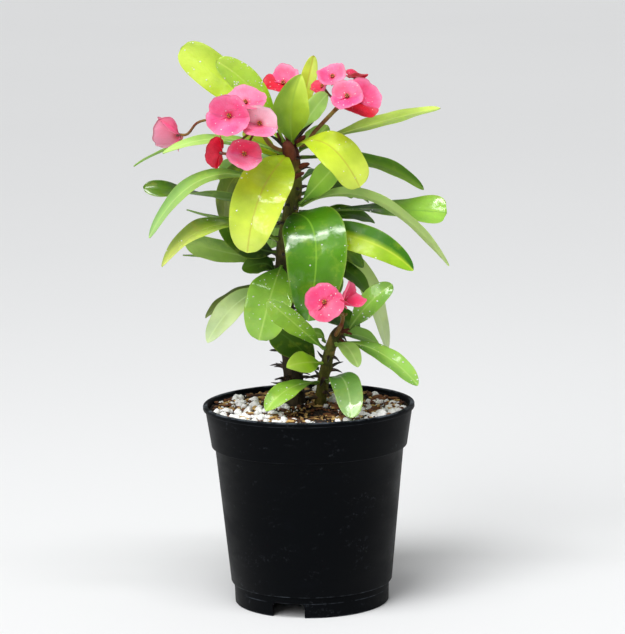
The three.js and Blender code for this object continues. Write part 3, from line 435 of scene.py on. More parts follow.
# ---- materials ----
class Look:
    """A node material with short calls for what the looks below share."""

    def __init__(self, name, **values):
        self.material = bpy.data.materials.new(name)
        self.material.use_nodes = True
        self.tree = self.material.node_tree
        self.shader = self.tree.nodes["Principled BSDF"]
        for key, value in values.items():
            self.shader.inputs[key.replace("_", " ")].default_value = value

    def node(self, kind, inputs=(), **settings):
        made = self.tree.nodes.new(kind)
        for key, value in settings.items():
            setattr(made, key, value)
        for key, value in dict(inputs).items():
            if isinstance(value, bpy.types.NodeSocket):
                self.tree.links.new(value, made.inputs[key])
            else:
                made.inputs[key].default_value = value
        return made

    def number(self, name):
        return self.node("ShaderNodeAttribute", attribute_name=name).outputs["Fac"]

    def colour(self, name):
        return self.node("ShaderNodeAttribute", attribute_name=name).outputs["Color"]

    def math(self, operation, a, b=0.0):
        return self.node("ShaderNodeMath", {0: a, 1: b}, operation=operation).outputs[0]

    def times(self, a, b):
        return self.math("MULTIPLY", a, b)

    def place(self):
        return self.node("ShaderNodeTexCoord").outputs["Object"]

    def noise(self, scale, detail=4.0, rough=0.55, stretch=(1, 1, 1)):
        where = self.node("ShaderNodeMapping", {"Vector": self.place(), "Scale": stretch}).outputs[0]
        settings = {"Vector": where, "Scale": scale, "Detail": detail, "Roughness": rough}
        return self.node("ShaderNodeTexNoise", settings).outputs["Fac"]

    def cells(self, scale):
        return self.node("ShaderNodeTexVoronoi", {"Vector": self.place(), "Scale": scale}).outputs["Distance"]

    def span(self, value, low, high, to_low=0.0, to_high=1.0):
        return self.node("ShaderNodeMapRange", {0: value, 1: low, 2: high, 3: to_low, 4: to_high},
                         interpolation_type="SMOOTHSTEP").outputs[0]

    def mix(self, share, a, b, mode="MIX"):
        made = self.node("ShaderNodeMix", data_type="RGBA", blend_type=mode)
        for index, value in ((0, share), (6, a), (7, b)):
            if isinstance(value, bpy.types.NodeSocket):
                self.tree.links.new(value, made.inputs[index])
            else:
                made.inputs[index].default_value = value if index == 0 else (*linear(value), 1)
        return made.outputs[2]

    def tint(self, base, colour, value, low, high, share=1.0):
        """The base, with some of a colour where a value rises from low to high."""
        return self.mix(self.span(value, low, high, 0, share), base, colour)

    def bump(self, height, strength, distance):
        made = self.node("ShaderNodeBump", {"Height": height, "Strength": strength, "Distance": distance})
        last = self.shader.inputs["Normal"]
        if last.is_linked:
            self.tree.links.new(last.links[0].from_socket, made.inputs["Normal"])
        self.tree.links.new(made.outputs[0], last)

    def set(self, name, value):
        self.tree.links.new(value, self.shader.inputs[name])


def leaf_look():
    look = Look("leaf", Specular_IOR_Level=0.24, Subsurface_Weight=0.15, Subsurface_Scale=0.003,
                Subsurface_Radius=(0.6, 1, 0.2), Coat_Roughness=0.09)
    rib, under, edge = (look.number(n) for n in ("rib", "under", "edge"))
    cloud, mottle = look.noise(45, 3, 0.5), look.noise(150, 4, 0.6)
    base = look.tint(look.colour("tone"), (34, 90, 6), cloud, 0.4, 0.72, 0.34)
    base = look.tint(base, (206, 226, 70), mottle, 0.5, 0.75, 0.17)
    base = look.tint(base, (176, 198, 80), edge, 0.9, 1.0, 0.25)
    core = look.span(rib, 0.1, 0.75, 1, 0)
    base = look.mix(look.times(core, 0.5), base, look.colour("line"))
    pale = look.mix(0.35, base, (150, 182, 96))
    look.set("Base Color", look.mix(under, base, pale))
    film = look.span(look.noise(150, 5, 0.7), 0.4, 0.54)
    top = look.math("SUBTRACT", 1.0, under)
    look.set("Coat Weight", look.times(look.times(film, look.number("wet")), top))
    rough = look.span(look.noise(75, 4, 0.6), 0.4, 0.64, 0.5, 0.3)
    look.set("Roughness", look.math("ADD", rough, look.times(under, 0.2)))
    look.bump(cloud, 0.5, 0.0016)
    look.bump(look.noise(240, 4), 0.4, 0.0008)
    return look.material


def bract_look():
    look = Look("bract", Specular_IOR_Level=0.3, Roughness=0.42, Subsurface_Weight=0.25,
                Subsurface_Scale=0.003, Subsurface_Radius=(1, 0.4, 0.5))
    ray, out, deep = look.number("ray"), look.number("out"), look.number("deep")
    cloud, mottle = look.noise(70, 3, 0.5), look.noise(190, 4, 0.6)
    pink = look.tint((255, 92, 150), (252, 62, 120), mottle, 0.3, 0.7, 0.8)
    pink = look.tint(pink, (255, 142, 184), cloud, 0.45, 0.65, 0.4)
    pink = look.tint(pink, (255, 160, 190), out, 0.7, 1.0, 0.35)
    # Painted light and shade: a negative 'deep' pales the pink as painted light, a positive one turns it deep
    # red as painted shade.
    pink = look.tint(pink, (255, 212, 224), deep, 0.0, -1.0, 0.85)
    pink = look.mix(look.span(out, 0.06, 0.4, 0.75, 0), pink, (214, 14, 54))
    red = look.tint((200, 10, 30), (232, 40, 62), mottle, 0.35, 0.7)
    pink = look.tint(pink, red, deep, 0.0, 1.0)
    threads = look.math("PINGPONG", look.math("ADD", look.times(ray, 6.0), mottle), 0.5)
    line = look.times(look.span(threads, 0.0, 0.16, 1, 0), look.span(out, 0.3, 1.0, 0.16, 0.0))
    look.set("Base Color", look.mix(line, pink, (216, 30, 74)))
    look.bump(look.times(threads, out), 0.3, 0.0004)
    look.bump(mottle, 0.45, 0.001)
    return look.material


def stalk_look():
    look = Look("stalk", Roughness=0.5, Specular_IOR_Level=0.3)
    red = look.noise(130, 4, 0.6)
    base = look.tint((136, 112, 50), (122, 58, 40), red, 0.35, 0.65)
    look.set("Base Color", look.tint(base, (112, 110, 44), look.noise(600, 3), 0.4, 0.7, 0.5))
    look.bump(look.noise(700, 4), 0.3, 0.0004)
    return look.material


def cup_look():
    look = Look("cup", Roughness=0.32, Coat_Weight=0.3)
    part = look.number("part")
    speck = look.noise(1500, 3)
    gland = look.tint((232, 168, 40), (206, 70, 30), speck, 0.35, 0.7)
    urn = look.tint((120, 40, 24), (70, 16, 14), speck, 0.35, 0.7)
    look.set("Base Color", look.tint(urn, gland, part, 0.3, 0.7))
    look.bump(speck, 0.3, 0.0003)
    return look.material


def stem_look():
    look = Look("bark", Roughness=0.8, Specular_IOR_Level=0.3)
    young, warm = look.number("young"), look.number("warm")
    long_noise = look.noise(150, 6, 0.65, stretch=(1, 1, 0.35))
    fine, patch = look.noise(700, 5, 0.7), look.noise(95, 4, 0.6)
    old = look.tint((26, 19, 12), (62, 52, 32), long_noise, 0.35, 0.68)
    old = look.tint(old, (96, 84, 60), fine, 0.5, 0.75, 0.4)
    fresh = look.tint((54, 58, 18), (116, 116, 44), long_noise, 0.35, 0.65)
    fresh = look.tint(fresh, (166, 132, 72), patch, 0.5, 0.66, 0.7)
    base = look.mix(young, old, fresh)
    crown = look.tint((70, 28, 20), (122, 62, 40), long_noise, 0.35, 0.65)
    look.set("Base Color", look.mix(warm, base, crown))
    look.bump(long_noise, 0.7, 0.0018)
    look.bump(fine, 0.5, 0.0006)
    return look.material


def spine_look():
    look = Look("spine", Roughness=0.42, Coat_Weight=0.15)
    along = look.number("along")
    fine = look.noise(900, 3)
    base = look.tint((92, 66, 44), (30, 17, 12), along, 0.0, 0.4)
    look.set("Base Color", look.tint(base, (78, 58, 42), fine, 0.4, 0.8, 0.4))
    look.bump(fine, 0.25, 0.0003)
    return look.material


def soil_look():
    look = Look("earth", Roughness=0.95)
    shade, fine = look.noise(230, 6, 0.7), look.noise(1100, 5, 0.7)
    base = look.tint((12, 8, 6), (48, 32, 22), shade, 0.32, 0.7)
    look.set("Base Color", look.tint(base, (92, 66, 46), fine, 0.55, 0.78, 0.5))
    look.bump(shade, 0.8, 0.002)
    look.bump(fine, 0.6, 0.0008)
    return look.material


def perlite_look():
    look = Look("perlite", Roughness=0.88, Subsurface_Weight=0.25, Subsurface_Scale=0.0015,
                Subsurface_Radius=(1, 1, 1))
    pores, stain = look.cells(2400), look.noise(420, 4, 0.65)
    base = look.tint((255, 255, 253), (204, 172, 126), stain, 0.62, 0.84, 0.7)
    look.set("Base Color", look.mix(look.span(pores, 0.1, 0.4, 0.25, 0), base, (226, 220, 210)))
    look.bump(pores, 0.5, 0.0004)
    look.bump(stain, 0.4, 0.0008)
    return look.material


def chip_look():
    look = Look("chip", Roughness=0.8)
    hue = look.number("hue")
    grain = look.noise(500, 5, 0.65, stretch=(1, 1, 4))
    base = look.tint((24, 15, 10), (120, 70, 34), hue, 0.0, 0.5)
    base = look.tint(base, (222, 184, 112), hue, 0.5, 1.0)
    look.set("Base Color", look.tint(base, (58, 32, 18), grain, 0.4, 0.75, 0.5))
    look.bump(grain, 0.7, 0.0008)
    return look.material


def pot_look():
    look = Look("pot_plastic", Specular_IOR_Level=0.05)
    dust = look.noise(38, 5, 0.65, stretch=(1, 1, 2.2))
    scuff, grit = look.noise(60, 6, 0.7, stretch=(1, 1, 2)), look.noise(520, 4, 0.65)
    base = look.tint((3, 5, 8), (11, 15, 21), dust, 0.5, 0.85, 0.5)
    marks = look.times(look.span(scuff, 0.52, 0.7, 0, 1), look.span(grit, 0.52, 0.7, 0, 0.5))
    base = look.mix(marks, base, (66, 70, 76))
    height = look.node("ShaderNodeSeparateXYZ", {"Vector": look.place()}).outputs["Z"]
    # Pale lines along the rim, lip, step, skirt, notches and foot: partly rubbed wear, partly painted
    # highlight where the edges catch the light.
    wear_and_highlight = look.span(look.noise(90, 5, 0.7), 0.4, 0.62)
    edges = ((POT_HEIGHT, 0.8, 0.75), (POT_HEIGHT - LIP_HEIGHT, 0.5, 0.25), (STEP_Z, 0.5, 0.12),
             (SKIRT_HEIGHT, 0.6, 0.45), (NOTCH_HEIGHT, 0.35, 0.45), (0.0, 1.0, 0.35))
    for level, reach, strength in edges:
        away = look.math("ABSOLUTE", look.math("SUBTRACT", height, level / 1000))
        line = look.span(away, 0.0, reach / 1000, strength, 0.0)
        base = look.mix(look.times(line, wear_and_highlight), base, (92, 99, 108))
    look.set("Base Color", base)
    look.set("Roughness", look.span(dust, 0.3, 0.75, 0.42, 0.55))
    look.bump(look.noise(1400, 3), 0.12, 0.0002)
    look.bump(scuff, 0.1, 0.0005)
    return look.material


def dew_look():
    # Water is clear; the white base colour is painted highlight, so that the drops show as glints.
    look = Look("dew", Transmission_Weight=0.2, Roughness=0.05, IOR=1.33, Specular_IOR_Level=1.0)
    cloud = look.noise(900, 2)
    look.set("Base Color", look.tint((255, 255, 255), (242, 250, 244), cloud, 0.3, 0.7))
    return look.material


# ---- stems and spines ----
def stem_at(stem, height):
    rows = STEMS[stem]
    i = next((k for k, row in enumerate(rows) if row[2] > height), len(rows) - 1)
    a, b = (np.array(rows[k], float) for k in (max(i, 1) - 1, max(i, 1)))
    row = a + (b - a) * (height - a[2]) / (b[2] - a[2])
    return row[:3], row[3], unit(b[:3] - a[:3])


def root_on(stem, height, toward):
    centre, radius, axis = stem_at(stem, height)
    out = vec(*toward) - centre
    out = unit(out - axis * (out @ axis))
    return centre + out * (radius + FIT_GAP + 0.05), out


def spines_of(stem, crowd, keep):
    random = lcg(SPINE_SEED[stem])
    top = STEMS[stem][-2][2]
    kept, height, n = [], FIRST_SPINE, 0
    while height < top:
        for side in (-1, 1):
            turn = math.radians(n * GOLDEN + side * 24 + 10 * next(random))
            length = (SPINE_LENGTH - SPINE_SHORTENING * (height - FIRST_SPINE)) * (0.7 + 0.4 * next(random))
            lift = 0.25 * (next(random) - 0.3)
            centre, radius, axis = stem_at(stem, height)
            u = across(axis, (0, 1, 0))
            out = spoke(turn, u, np.cross(axis, u))
            way = unit(out + axis * lift)
            root, tip = centre + out * radius * 0.55, centre + out * radius + way * length
            probes = [root + (tip - root) * t for t in (0.4, 0.6, 0.8, 1)]
            if all((np.linalg.norm(crowd - q, axis=1) > keep).all() for q in probes):
                kept.append((centre + out * radius * 0.8, tip, axis, 1.0))
        height += SPINE_PITCH[stem]
        n += 1
    return kept


def foot_spines(crowd, keep):
    """Further spines low on the main stem, where they stand thickest."""
    random = lcg(SPINE_SEED["foot"])
    kept = []
    for height in np.arange(111.5, 166, 1.5):
        centre, radius, axis = stem_at("main", height)
        out = unit(spoke(2 * math.pi * next(random), EAST, 0.75 * NORTH))
        tip = centre + out * (radius + 6.0 + 2.0 * next(random)) + axis * 3 * (next(random) - 0.4)
        if (np.linalg.norm(crowd - tip, axis=1) > keep).all():
            kept.append((centre + out * radius * 0.8, tip, axis, 0.9))
    return kept


def thorns():
    """The two large thorns under the crown."""
    found = []
    for height, tip in THORNS:
        centre, radius, axis = stem_at("main", height)
        out = root_on("main", height, tip)[1]
        found.append((centre + out * radius * 0.6, vec(*tip), axis, 1.5))
    return found


def crowding():
    """Points over every leaf and stalk with the room that spines keep from them."""
    points, room = [], []
    for leaf in LEAVES:
        _, centre, up, side, reach = leaf_frames(leaf, 27)
        for share in (-1, -0.5, 0, 0.5, 1):
            out = side * share + up * abs(share) * leaf.fold
            points += list(centre + out * reach[:, None])
            room += [LEAF_ROOM] * len(centre)
    for (stem, height), knee, fork, blooms in HEADS.values():
        runs = [(root_on(stem, height, knee)[0], knee), (knee, fork)] + [(fork, bloom[0]) for bloom in blooms]
        for a, b in runs:
            points += list(np.linspace(a, b, 11))
            room += [STALK_ROOM] * 11
    return np.array(points), np.array(room)


def build_stem(stem, bark, thorn, crowd, room):
    rows = smooth_line(STEMS[stem], 260 if stem == "main" else 110)
    other = "side" if stem == "main" else "main"
    beside = [stem_at(other, height)[0] for height in np.arange(106, 153.9, 1.6)]
    crowd, room = np.vstack([crowd, beside]), np.r_[room, np.full(len(beside), STEM_ROOM)]
    spines = spines_of(stem, crowd, room)
    if stem == "main":
        spines += thorns() + foot_spines(crowd, room)
    pads = np.array([s[0] for s in spines])

    def relief(ring):
        rough = 0.9 * fractal(ring * (0.42, 0.42, 0.16), 5, 11) + 0.4 * fractal(ring * 1.3, 3, 5)
        near = np.exp(-((ring[:, None] - pads[None]) ** 2).sum(-1) / 3.2).sum(1)
        return 0.75 * rough + 0.55 * np.minimum(near, 1.3) - 0.15

    line, radii = rows[:, :3], rows[:, 3]
    points, faces = tube(line, radii, 56, relief)
    mesh = Mesh()
    height = points[:, 2]
    young = np.clip((height - 175) / 60, 0, 1) if stem == "main" else np.full(len(points), 0.85)
    mesh.add(points, faces, young=young, warm=np.clip((height - CROWN_FOOT[stem]) / 9, 0, 1))
    mesh.add(*bud(line[-1], line[-1] - line[-4], radii[-1]), young=1.0, warm=1.0)
    for root, tip, girth in STUBS[stem]:
        stub = smooth_line([root, (vec(*root) + vec(*tip)) / 2 + vec(0, 0, 0.4), tip], 12)
        bulge = 1 - (np.linspace(0, 1, 12) * 1.02 - 0.32) ** 2 / 0.48
        swell = girth * (0.35 + np.sqrt(np.clip(bulge, 0, 1)) * 0.65)
        mesh.add(*tube(stub, swell, 14), young=1.0, warm=1.0)
    mesh.build(f"{stem}_bark", bark, [f"{stem}_stem"], "stem")
    prickles = Mesh()
    for k, (root, tip, axis, stout) in enumerate(spines):
        bow = axis * (0.7 if k % 3 else -0.5)
        line = smooth_line([root, (root + tip) / 2 + bow, tip], 10)
        girth = stout * 1.15 * (1 - np.linspace(0, 1, 10)) ** 0.8 + 0.05
        girth[0] *= 1.5
        prickles.add(*tube(line, girth, 8), along=np.repeat(np.linspace(0, 1, 10), 8))
    prickles.build(f"{stem}_spines", thorn, [f"{stem}_stem"], "stem")


def bud(tip, way, radius):
    """The growing tip: a short blunt cone."""
    way = unit(way)
    line = np.array([tip + way * d for d in (-1.0, 0.3, 1.2, 1.8)])
    return tube(line, [radius * 1.2, radius * 1.1, radius * 0.7, 0.2], 16)


# ---- leaves ----
def outline(s, fullest, blunt):
    rise = np.sin(0.5 * np.pi * np.minimum(s / fullest, 1)) ** (3 * fullest - 0.3)
    t = np.clip((s - fullest) / (1 - fullest), 0, 1)
    return np.where(s < fullest, rise, (1 - t**blunt) ** (0.9 - 0.16 * blunt))


def leaf_frames(leaf, count):
    """At each step along a leaf: share of its length, middle, the ways up and aside, half width."""
    point, out = root_on("side" if leaf.name in ON_SIDE_STEM else "main", leaf.height, leaf.middle)
    start, middle, tip, face = point + out * 1.2, vec(*leaf.middle), vec(*leaf.tip), vec(*leaf.face)
    control = 2 * middle - (start + tip) / 2
    t = np.linspace(0, 1, 400)[:, None]
    curve = (1 - t) ** 2 * start + 2 * t * (1 - t) * control + t * t * tip
    far = np.r_[0, np.cumsum(np.linalg.norm(np.diff(curve, axis=0), axis=1))]
    s = np.linspace(0, 1, count)
    line = np.stack([np.interp(s * far[-1], far, curve[:, k]) for k in range(3)], 1)
    way = ways(line)
    up = np.zeros_like(line)
    half = count // 2
    up[half] = unit(face - way[half] * (face @ way[half]))
    for step, end in ((1, count), (-1, -1)):
        for i in range(half + step, end, step):
            up[i] = unit(up[i - step] - way[i] * (up[i - step] @ way[i]))
    turn = (math.radians(TWISTS.get(leaf.name, 0)) * (s - 0.5))[:, None]
    up = up * np.cos(turn) + np.cross(way, up) * np.sin(turn)
    reach = np.maximum(outline(s, leaf.fullest, leaf.blunt) * leaf.width / 2, PETIOLE / 2 * (1 - s))
    reach = np.maximum(reach, 0.3)
    foot_up = unit(up[0] - out * (up[0] @ out))
    return (np.r_[0, s], np.vstack([point, line]), np.vstack([foot_up, up]),
            np.vstack([np.cross(out, foot_up), np.cross(way, up)]), np.r_[reach[0], reach])


def build_leaf(index, leaf, material):
    rows, columns = 61, 17
    *stops, line, side_shade = TONES[leaf.tone]
    s, centre, up, side, reach = (part[:, None] for part in leaf_frames(leaf, rows - 1))
    v = np.sin(np.linspace(-0.5 * np.pi, 0.5 * np.pi, columns))[None, :]
    dist = np.abs(v) * reach
    ripple = 0.07 * np.sin(9 * s + index + np.sign(v)) + 0.035 * np.sin(23 * s + 2.3 * index + 2 * np.sign(v))
    lift = reach * (leaf.fold * np.abs(v) ** 1.15 + ripple * np.abs(v) ** 2.2)
    lift = lift - 0.22 * np.exp(-(dist / 0.8) ** 2) * (1 - s)
    body = 0.26 + 0.42 * np.clip(1 - s / 0.14, 0, 1)
    rim = body * np.sqrt(np.clip(1 - np.abs(v) ** 10, 0.04, 1))
    rib = (0.15 + 0.5 * (1 - s)) * np.exp(-(dist / (0.5 + 0.4 * (1 - s))) ** 2)
    place = centre + side * (v * reach)[..., None]
    top = place + up * (lift + rim)[..., None]
    bottom = place + up * (lift - rim - rib)[..., None]
    points, faces = plate(top, bottom, rows, columns)
    shade = np.stack([np.interp(s[:, 0], (0.05, 0.5, 0.95), band) for band in linear(stops).T], 1)
    shade = np.repeat(shade * (1 + 0.1 * (noise3([[index * 3.7, 1.3, 0.5]])[0] - 0.5)), columns, axis=0)
    # Painted shade: one side of the leaf is darkened, as where it turns or folds away from the light.
    dim = np.clip(np.tile(v[0] * np.sign(side_shade), rows) / (1 - 0.8 * abs(side_shade)), 0, 1)
    shade = shade * (1 - np.outer(abs(side_shade) * dim**2 * (3 - 2 * dim), (1.1, 0.88, 1.0)))
    mesh = Mesh()
    mesh.add(points, faces, tone=np.tile(shade, (2, 1)), line=linear(line), rib=both(dist, rows, columns),
             edge=both(np.abs(v), rows, columns), under=np.repeat([0.0, 1.0], rows * columns),
             wet=0.9 if leaf.name in GLOSSY else 0.15)
    mesh.build(f"blade_{leaf.name}", material, [f"leaf_{leaf.name}"], "leaf")
    return top


def sprinkle(mesh, top, count, sizes, random):
    """Drops of water on a surface given as a grid of points."""
    for _ in range(count):
        i, j = random.integers(1, top.shape[0] - 2), random.integers(2, top.shape[1] - 2)
        p = top[i, j]
        n = unit(np.cross(top[i, j + 1] - top[i, j - 1], top[i + 1, j] - top[i - 1, j]))
        u = across(n)
        v = np.cross(n, u)
        size = pick(sizes, random)
        flat = spoke(circle(10), u * (1 + 0.5 * random.random()), v)
        rings = [p + size * np.sin(tilt) * flat + n * (size * 0.6 * np.cos(tilt) - 0.02)
                 for tilt in np.linspace(0.5 * np.pi, 0.08, 5)]
        mesh.add(np.concatenate(rings), capped(5, 10))


def build_dew(surfaces, material):
    random = np.random.default_rng(DEW_SEED)
    mesh = Mesh()
    for name, count in DEW.items():
        sprinkle(mesh, surfaces[name][12:], count, LEAF_DROPS, random)
    mesh.build("dew", material, [f"leaf_{name}" for name in DEW], "leaf")


# ---- blooms ----
def bract(mesh, centre, facing, leaning, width, lift, cupping, seed, deep, beside):
    """One rounded bract; its redness, painted shade as deep red and painted light as pale pink, meets that of
    the other bract at the sides.
    """
    spread, rays, shares = math.radians(BRACT_SPREAD), 49, 15
    tilt = FOLD * cupping
    lean = leaning * math.cos(tilt) + facing * math.sin(tilt)
    face = facing * math.cos(tilt) - leaning * math.sin(tilt)
    even = np.linspace(-1, 1, rays)[:, None]
    turn = spread * (1.3 * even - 0.3 * even**3)
    share = np.linspace(0.05, 1, shares)[None, :]
    away = np.abs(turn / spread)
    rim = (1 - 0.12 * away**2) * (1 - 0.6 * away**9)
    rim = rim + 0.014 * np.sin(13 * turn + seed) + 0.02 * np.sin(5 * turn + 2 * seed)
    notch = 1 - 0.05 * np.exp(-(turn / 0.12) ** 2)
    round_ = width / 2 * rim * notch
    cup = BOWL * cupping * round_ * share**2 + 0.35 * share * np.sin(3 * turn)
    cup = cup + 0.9 * share**3 * np.sin(4 * turn + seed) - 1.0 * share**7
    cup = cup + 0.08 * np.sin(26 * turn) * share + 0.9 * share * turn / spread
    way = spoke(turn, lean, np.cross(face, lean))
    middle = centre + way * (round_ * share)[..., None] + face * (lift + cup)[..., None]
    thick = 0.24 * np.sqrt(np.clip(1.02 - share**8, 0.05, 1)) * np.ones_like(away)
    upper = middle + face * thick[..., None]
    points, faces = plate(upper, middle - face * thick[..., None], rays, shares)
    red = deep + (beside - deep) * 0.5 * np.clip((away - 0.4) / 0.45, 0, 1) ** 2
    mesh.add(points, faces, ray=both(turn, rays, shares), out=both(share, rays, shares),
             deep=both(red, rays, shares))
    return upper


def bloom_parts(index, bloom, fork, bracts, cups, stalks):
    centre, facing, width, turn, cupping, deep, via = bloom
    centre, face = vec(*centre), unit(vec(*facing))
    u = across(face)
    lean = spoke(math.radians(turn), u, np.cross(face, u))
    faces = [bract(bracts, centre, face, lean, width, 0, cupping, index, *deep),
             bract(bracts, centre, face, -lean, width * 0.96, 0.5, cupping, index + 5, *deep[::-1])]
    back, seat = centre - face * 3.2, centre - face
    bend = vec(*via) if via else (fork + back) / 2 + vec(0, 0, 0.8)
    line = smooth_line([fork, bend, back, seat], 22)
    stalks.add(*tube(line, np.linspace(0.62, 0.75, 22), 12))
    sections = ((-1.2, 0.7), (0.4, 1.05), (1.5, 1), (1.7, 0.7))
    urn = smooth_line([(*(centre + face * along), radius) for along, radius in sections], 10)
    cups.add(*tube(urn[:, :3], urn[:, 3], 20), part=0.0)
    other = np.cross(face, lean)
    for k in range(5):
        way = spoke(2 * np.pi * k / 5 + 0.4, lean, other)
        spot, reach = centre + way * 0.95 + face * 1.6, np.linspace(-0.42, 0.42, 7)[:, None]
        line = spot + np.cross(face, way) * reach - way * 0.3 * reach**2
        cups.add(*tube(line, 0.28 * np.sqrt(1 - np.linspace(-0.95, 0.95, 7) ** 2), 10), part=1.0)
    for k in range(6):
        way = spoke(2 * np.pi * k / 6, lean, other)
        start = centre + face * 1.5 + way * 0.25
        line = np.array([start, start + face * 0.6 + way * 0.2, start + face * 1.1 + way * 0.4])
        cups.add(*tube(line, [0.1, 0.1, 0.2], 8), part=0.35 if k % 2 else 1.0)
    return faces


def build_head(name, head, looks):
    (stem, height), knee, fork, blooms = head
    point, out = root_on(stem, height, knee)
    knee, fork = vec(*knee), vec(*fork)
    bracts, cups, stalks = Mesh(), Mesh(), Mesh()
    line = smooth_line([point, point + out * 2.2, knee, fork], 40)
    girth = 1.12 + 0.2 * np.exp(-((np.linspace(0, 1, 40) - 1) / 0.05) ** 2)
    stalks.add(*tube(line, girth, 16))
    for k in range(2):
        scale_leaf(stalks, fork, unit(fork - knee), k)
    faces = []
    for index, bloom in enumerate(blooms):
        faces += bloom_parts(index, bloom, fork, bracts, cups, stalks)
    bracts.build(f"{name}_bracts", looks["bract"], [name], "bloom")
    cups.build(f"{name}_cups", looks["cup"], [name], "bloom")
    stalks.build(f"{name}_stalks", looks["stalk"], [name], "bloom")
    dew = Mesh()
    for k, upper in enumerate(faces):
        random = np.random.default_rng(BRACT_DEW_SEED + k)
        sprinkle(dew, upper, DROPS_ON_BRACT, BRACT_DROPS, random)
    dew.build(f"{name}_dew", looks["dew"], [name], "bloom")


def scale_leaf(mesh, fork, way, side):
    """A tiny scale at the fork of a flower stalk."""
    out = across(way) * (1 if side else -1)
    line = np.array([fork - way * 1.5 + out * 1.1, fork + out * 2.0, fork + way * 1.6 + out * 2.2])
    mesh.add(*tube(line, [0.7, 0.55, 0.08], 8))


# ---- soil ----
def hump(x, y, middle_x, middle_y, size):
    return np.exp(-((x - middle_x) ** 2 + (y - middle_y) ** 2) / size)


def soil_height(x, y):
    mound, hollow = 1.2 * hump(x, y, 1, 12, 260), -3.2 * hump(x, y, 2, -17, 150)
    lumps = 0.5 * np.sin(0.31 * x + 1) * np.cos(0.27 * y) + 0.4 * np.sin(0.5 * (x + y))
    return SOIL_LEVEL + mound + hollow + lumps


def pot_inside(z):
    slope = (BAND_FOOT_RADIUS - STEP_IN - WALL_FOOT_RADIUS) / (STEP_Z - SKIRT_HEIGHT)
    wall = WALL_FOOT_RADIUS + slope * (z - SKIRT_HEIGHT)
    rise = (RIM_RADIUS - LIP_OVERHANG - BAND_FOOT_RADIUS) / BAND_HEIGHT
    band = BAND_FOOT_RADIUS + rise * (z - STEP_Z)
    return (wall if z < STEP_Z + 1.6 else band) - POT_WALL


def build_soil(material):
    edge = pot_inside(SOIL_LEVEL) - 0.4
    levels = (FLOOR_HEIGHT + FLOOR_THICKNESS + 0.5, 60.0, 98.0)
    sides = [(pot_inside(level) - 0.6, level) for level in levels]
    surface = [(edge * share, SOIL_LEVEL) for share in np.linspace(1, 0.01, 96) ** 0.9]
    points, faces = lathe(sides + surface, 240)
    top = points[len(sides) * 240:]
    top[:, 2] = soil_height(top[:, 0], top[:, 1])
    top[:, 2] += 1.9 * fractal(top * 0.55, 5, 3) + 0.8 * np.abs(fractal(top * 1.7, 3, 9)) - 0.5
    mesh = Mesh()
    mesh.add(points, faces)
    mesh.build("soil_bed", material, ["soil"], "soil")


def ball(level):
    """Points and faces of a round form with even faces."""
    bm = bmesh.new()
    bmesh.ops.create_icosphere(bm, subdivisions=level, radius=1)
    points = np.array([v.co for v in bm.verts])
    faces = [tuple(v.index for v in f.verts) for f in bm.faces]
    bm.free()
    return points, faces


def scatter(name, material, count, sizes, stretch, sink, seed, level=2, rough=0.35, hue=None, where=None):
    """Loose lumps lying on the soil, each one different."""
    random = np.random.default_rng(seed)
    points, faces = ball(level)
    mesh = Mesh()
    made = 0
    while made < count:
        radius = (pot_inside(SOIL_LEVEL) - 2.2) * math.sqrt(random.random())
        turn = 2 * math.pi * random.random()
        x, y = radius * math.cos(turn), radius * math.sin(turn)
        if any(math.hypot(x - rows[1][0], y - rows[1][1]) < rows[1][3] + 0.8 for rows in STEMS.values()):
            continue
        if where and not where(x, y, random):
            continue
        size = pick(sizes, random)
        shape = points * (np.array(stretch) * (0.75 + 0.5 * random.random(3))) * size
        shape = shape * (1 + rough * 2 * fractal(points * 1.7 + random.random(3) * 90, 3, seed))[:, None]
        spin = Matrix.Rotation(random.uniform(0, 6.28), 3, Vector(random.normal(size=3)).normalized())
        if stretch[2] < 0.5:
            spin = Matrix.Rotation(random.uniform(0, 6.28), 3, "Z")
            spin = spin @ Matrix.Rotation(random.normal() * 0.35, 3, "X")
        shape = shape @ np.array(spin).T
        height = soil_height(x, y) - 0.2 + size * sink
        extra = {} if hue is None else {"hue": random.random() ** hue}
        mesh.add(shape + vec(x, y, height), faces, **extra)
        made += 1
    mesh.build(name, material, ["soil"], "soil")


def speckle(x, y, random):
    """Perlite lies in drifts: thick at the front left and front right, thin behind and round the stems."""
    drift = noise3([[x * 0.12 + 3, y * 0.12, 0.4]])[0]
    left, right, hollow = hump(x, y, -30, -20, 760), hump(x, y, 33, -20, 500), hump(x, y, 2, -17, 240)
    return random.random() < (0.14 + max(left, right)) * (0.3 + 1.1 * drift) - 0.9 * hollow


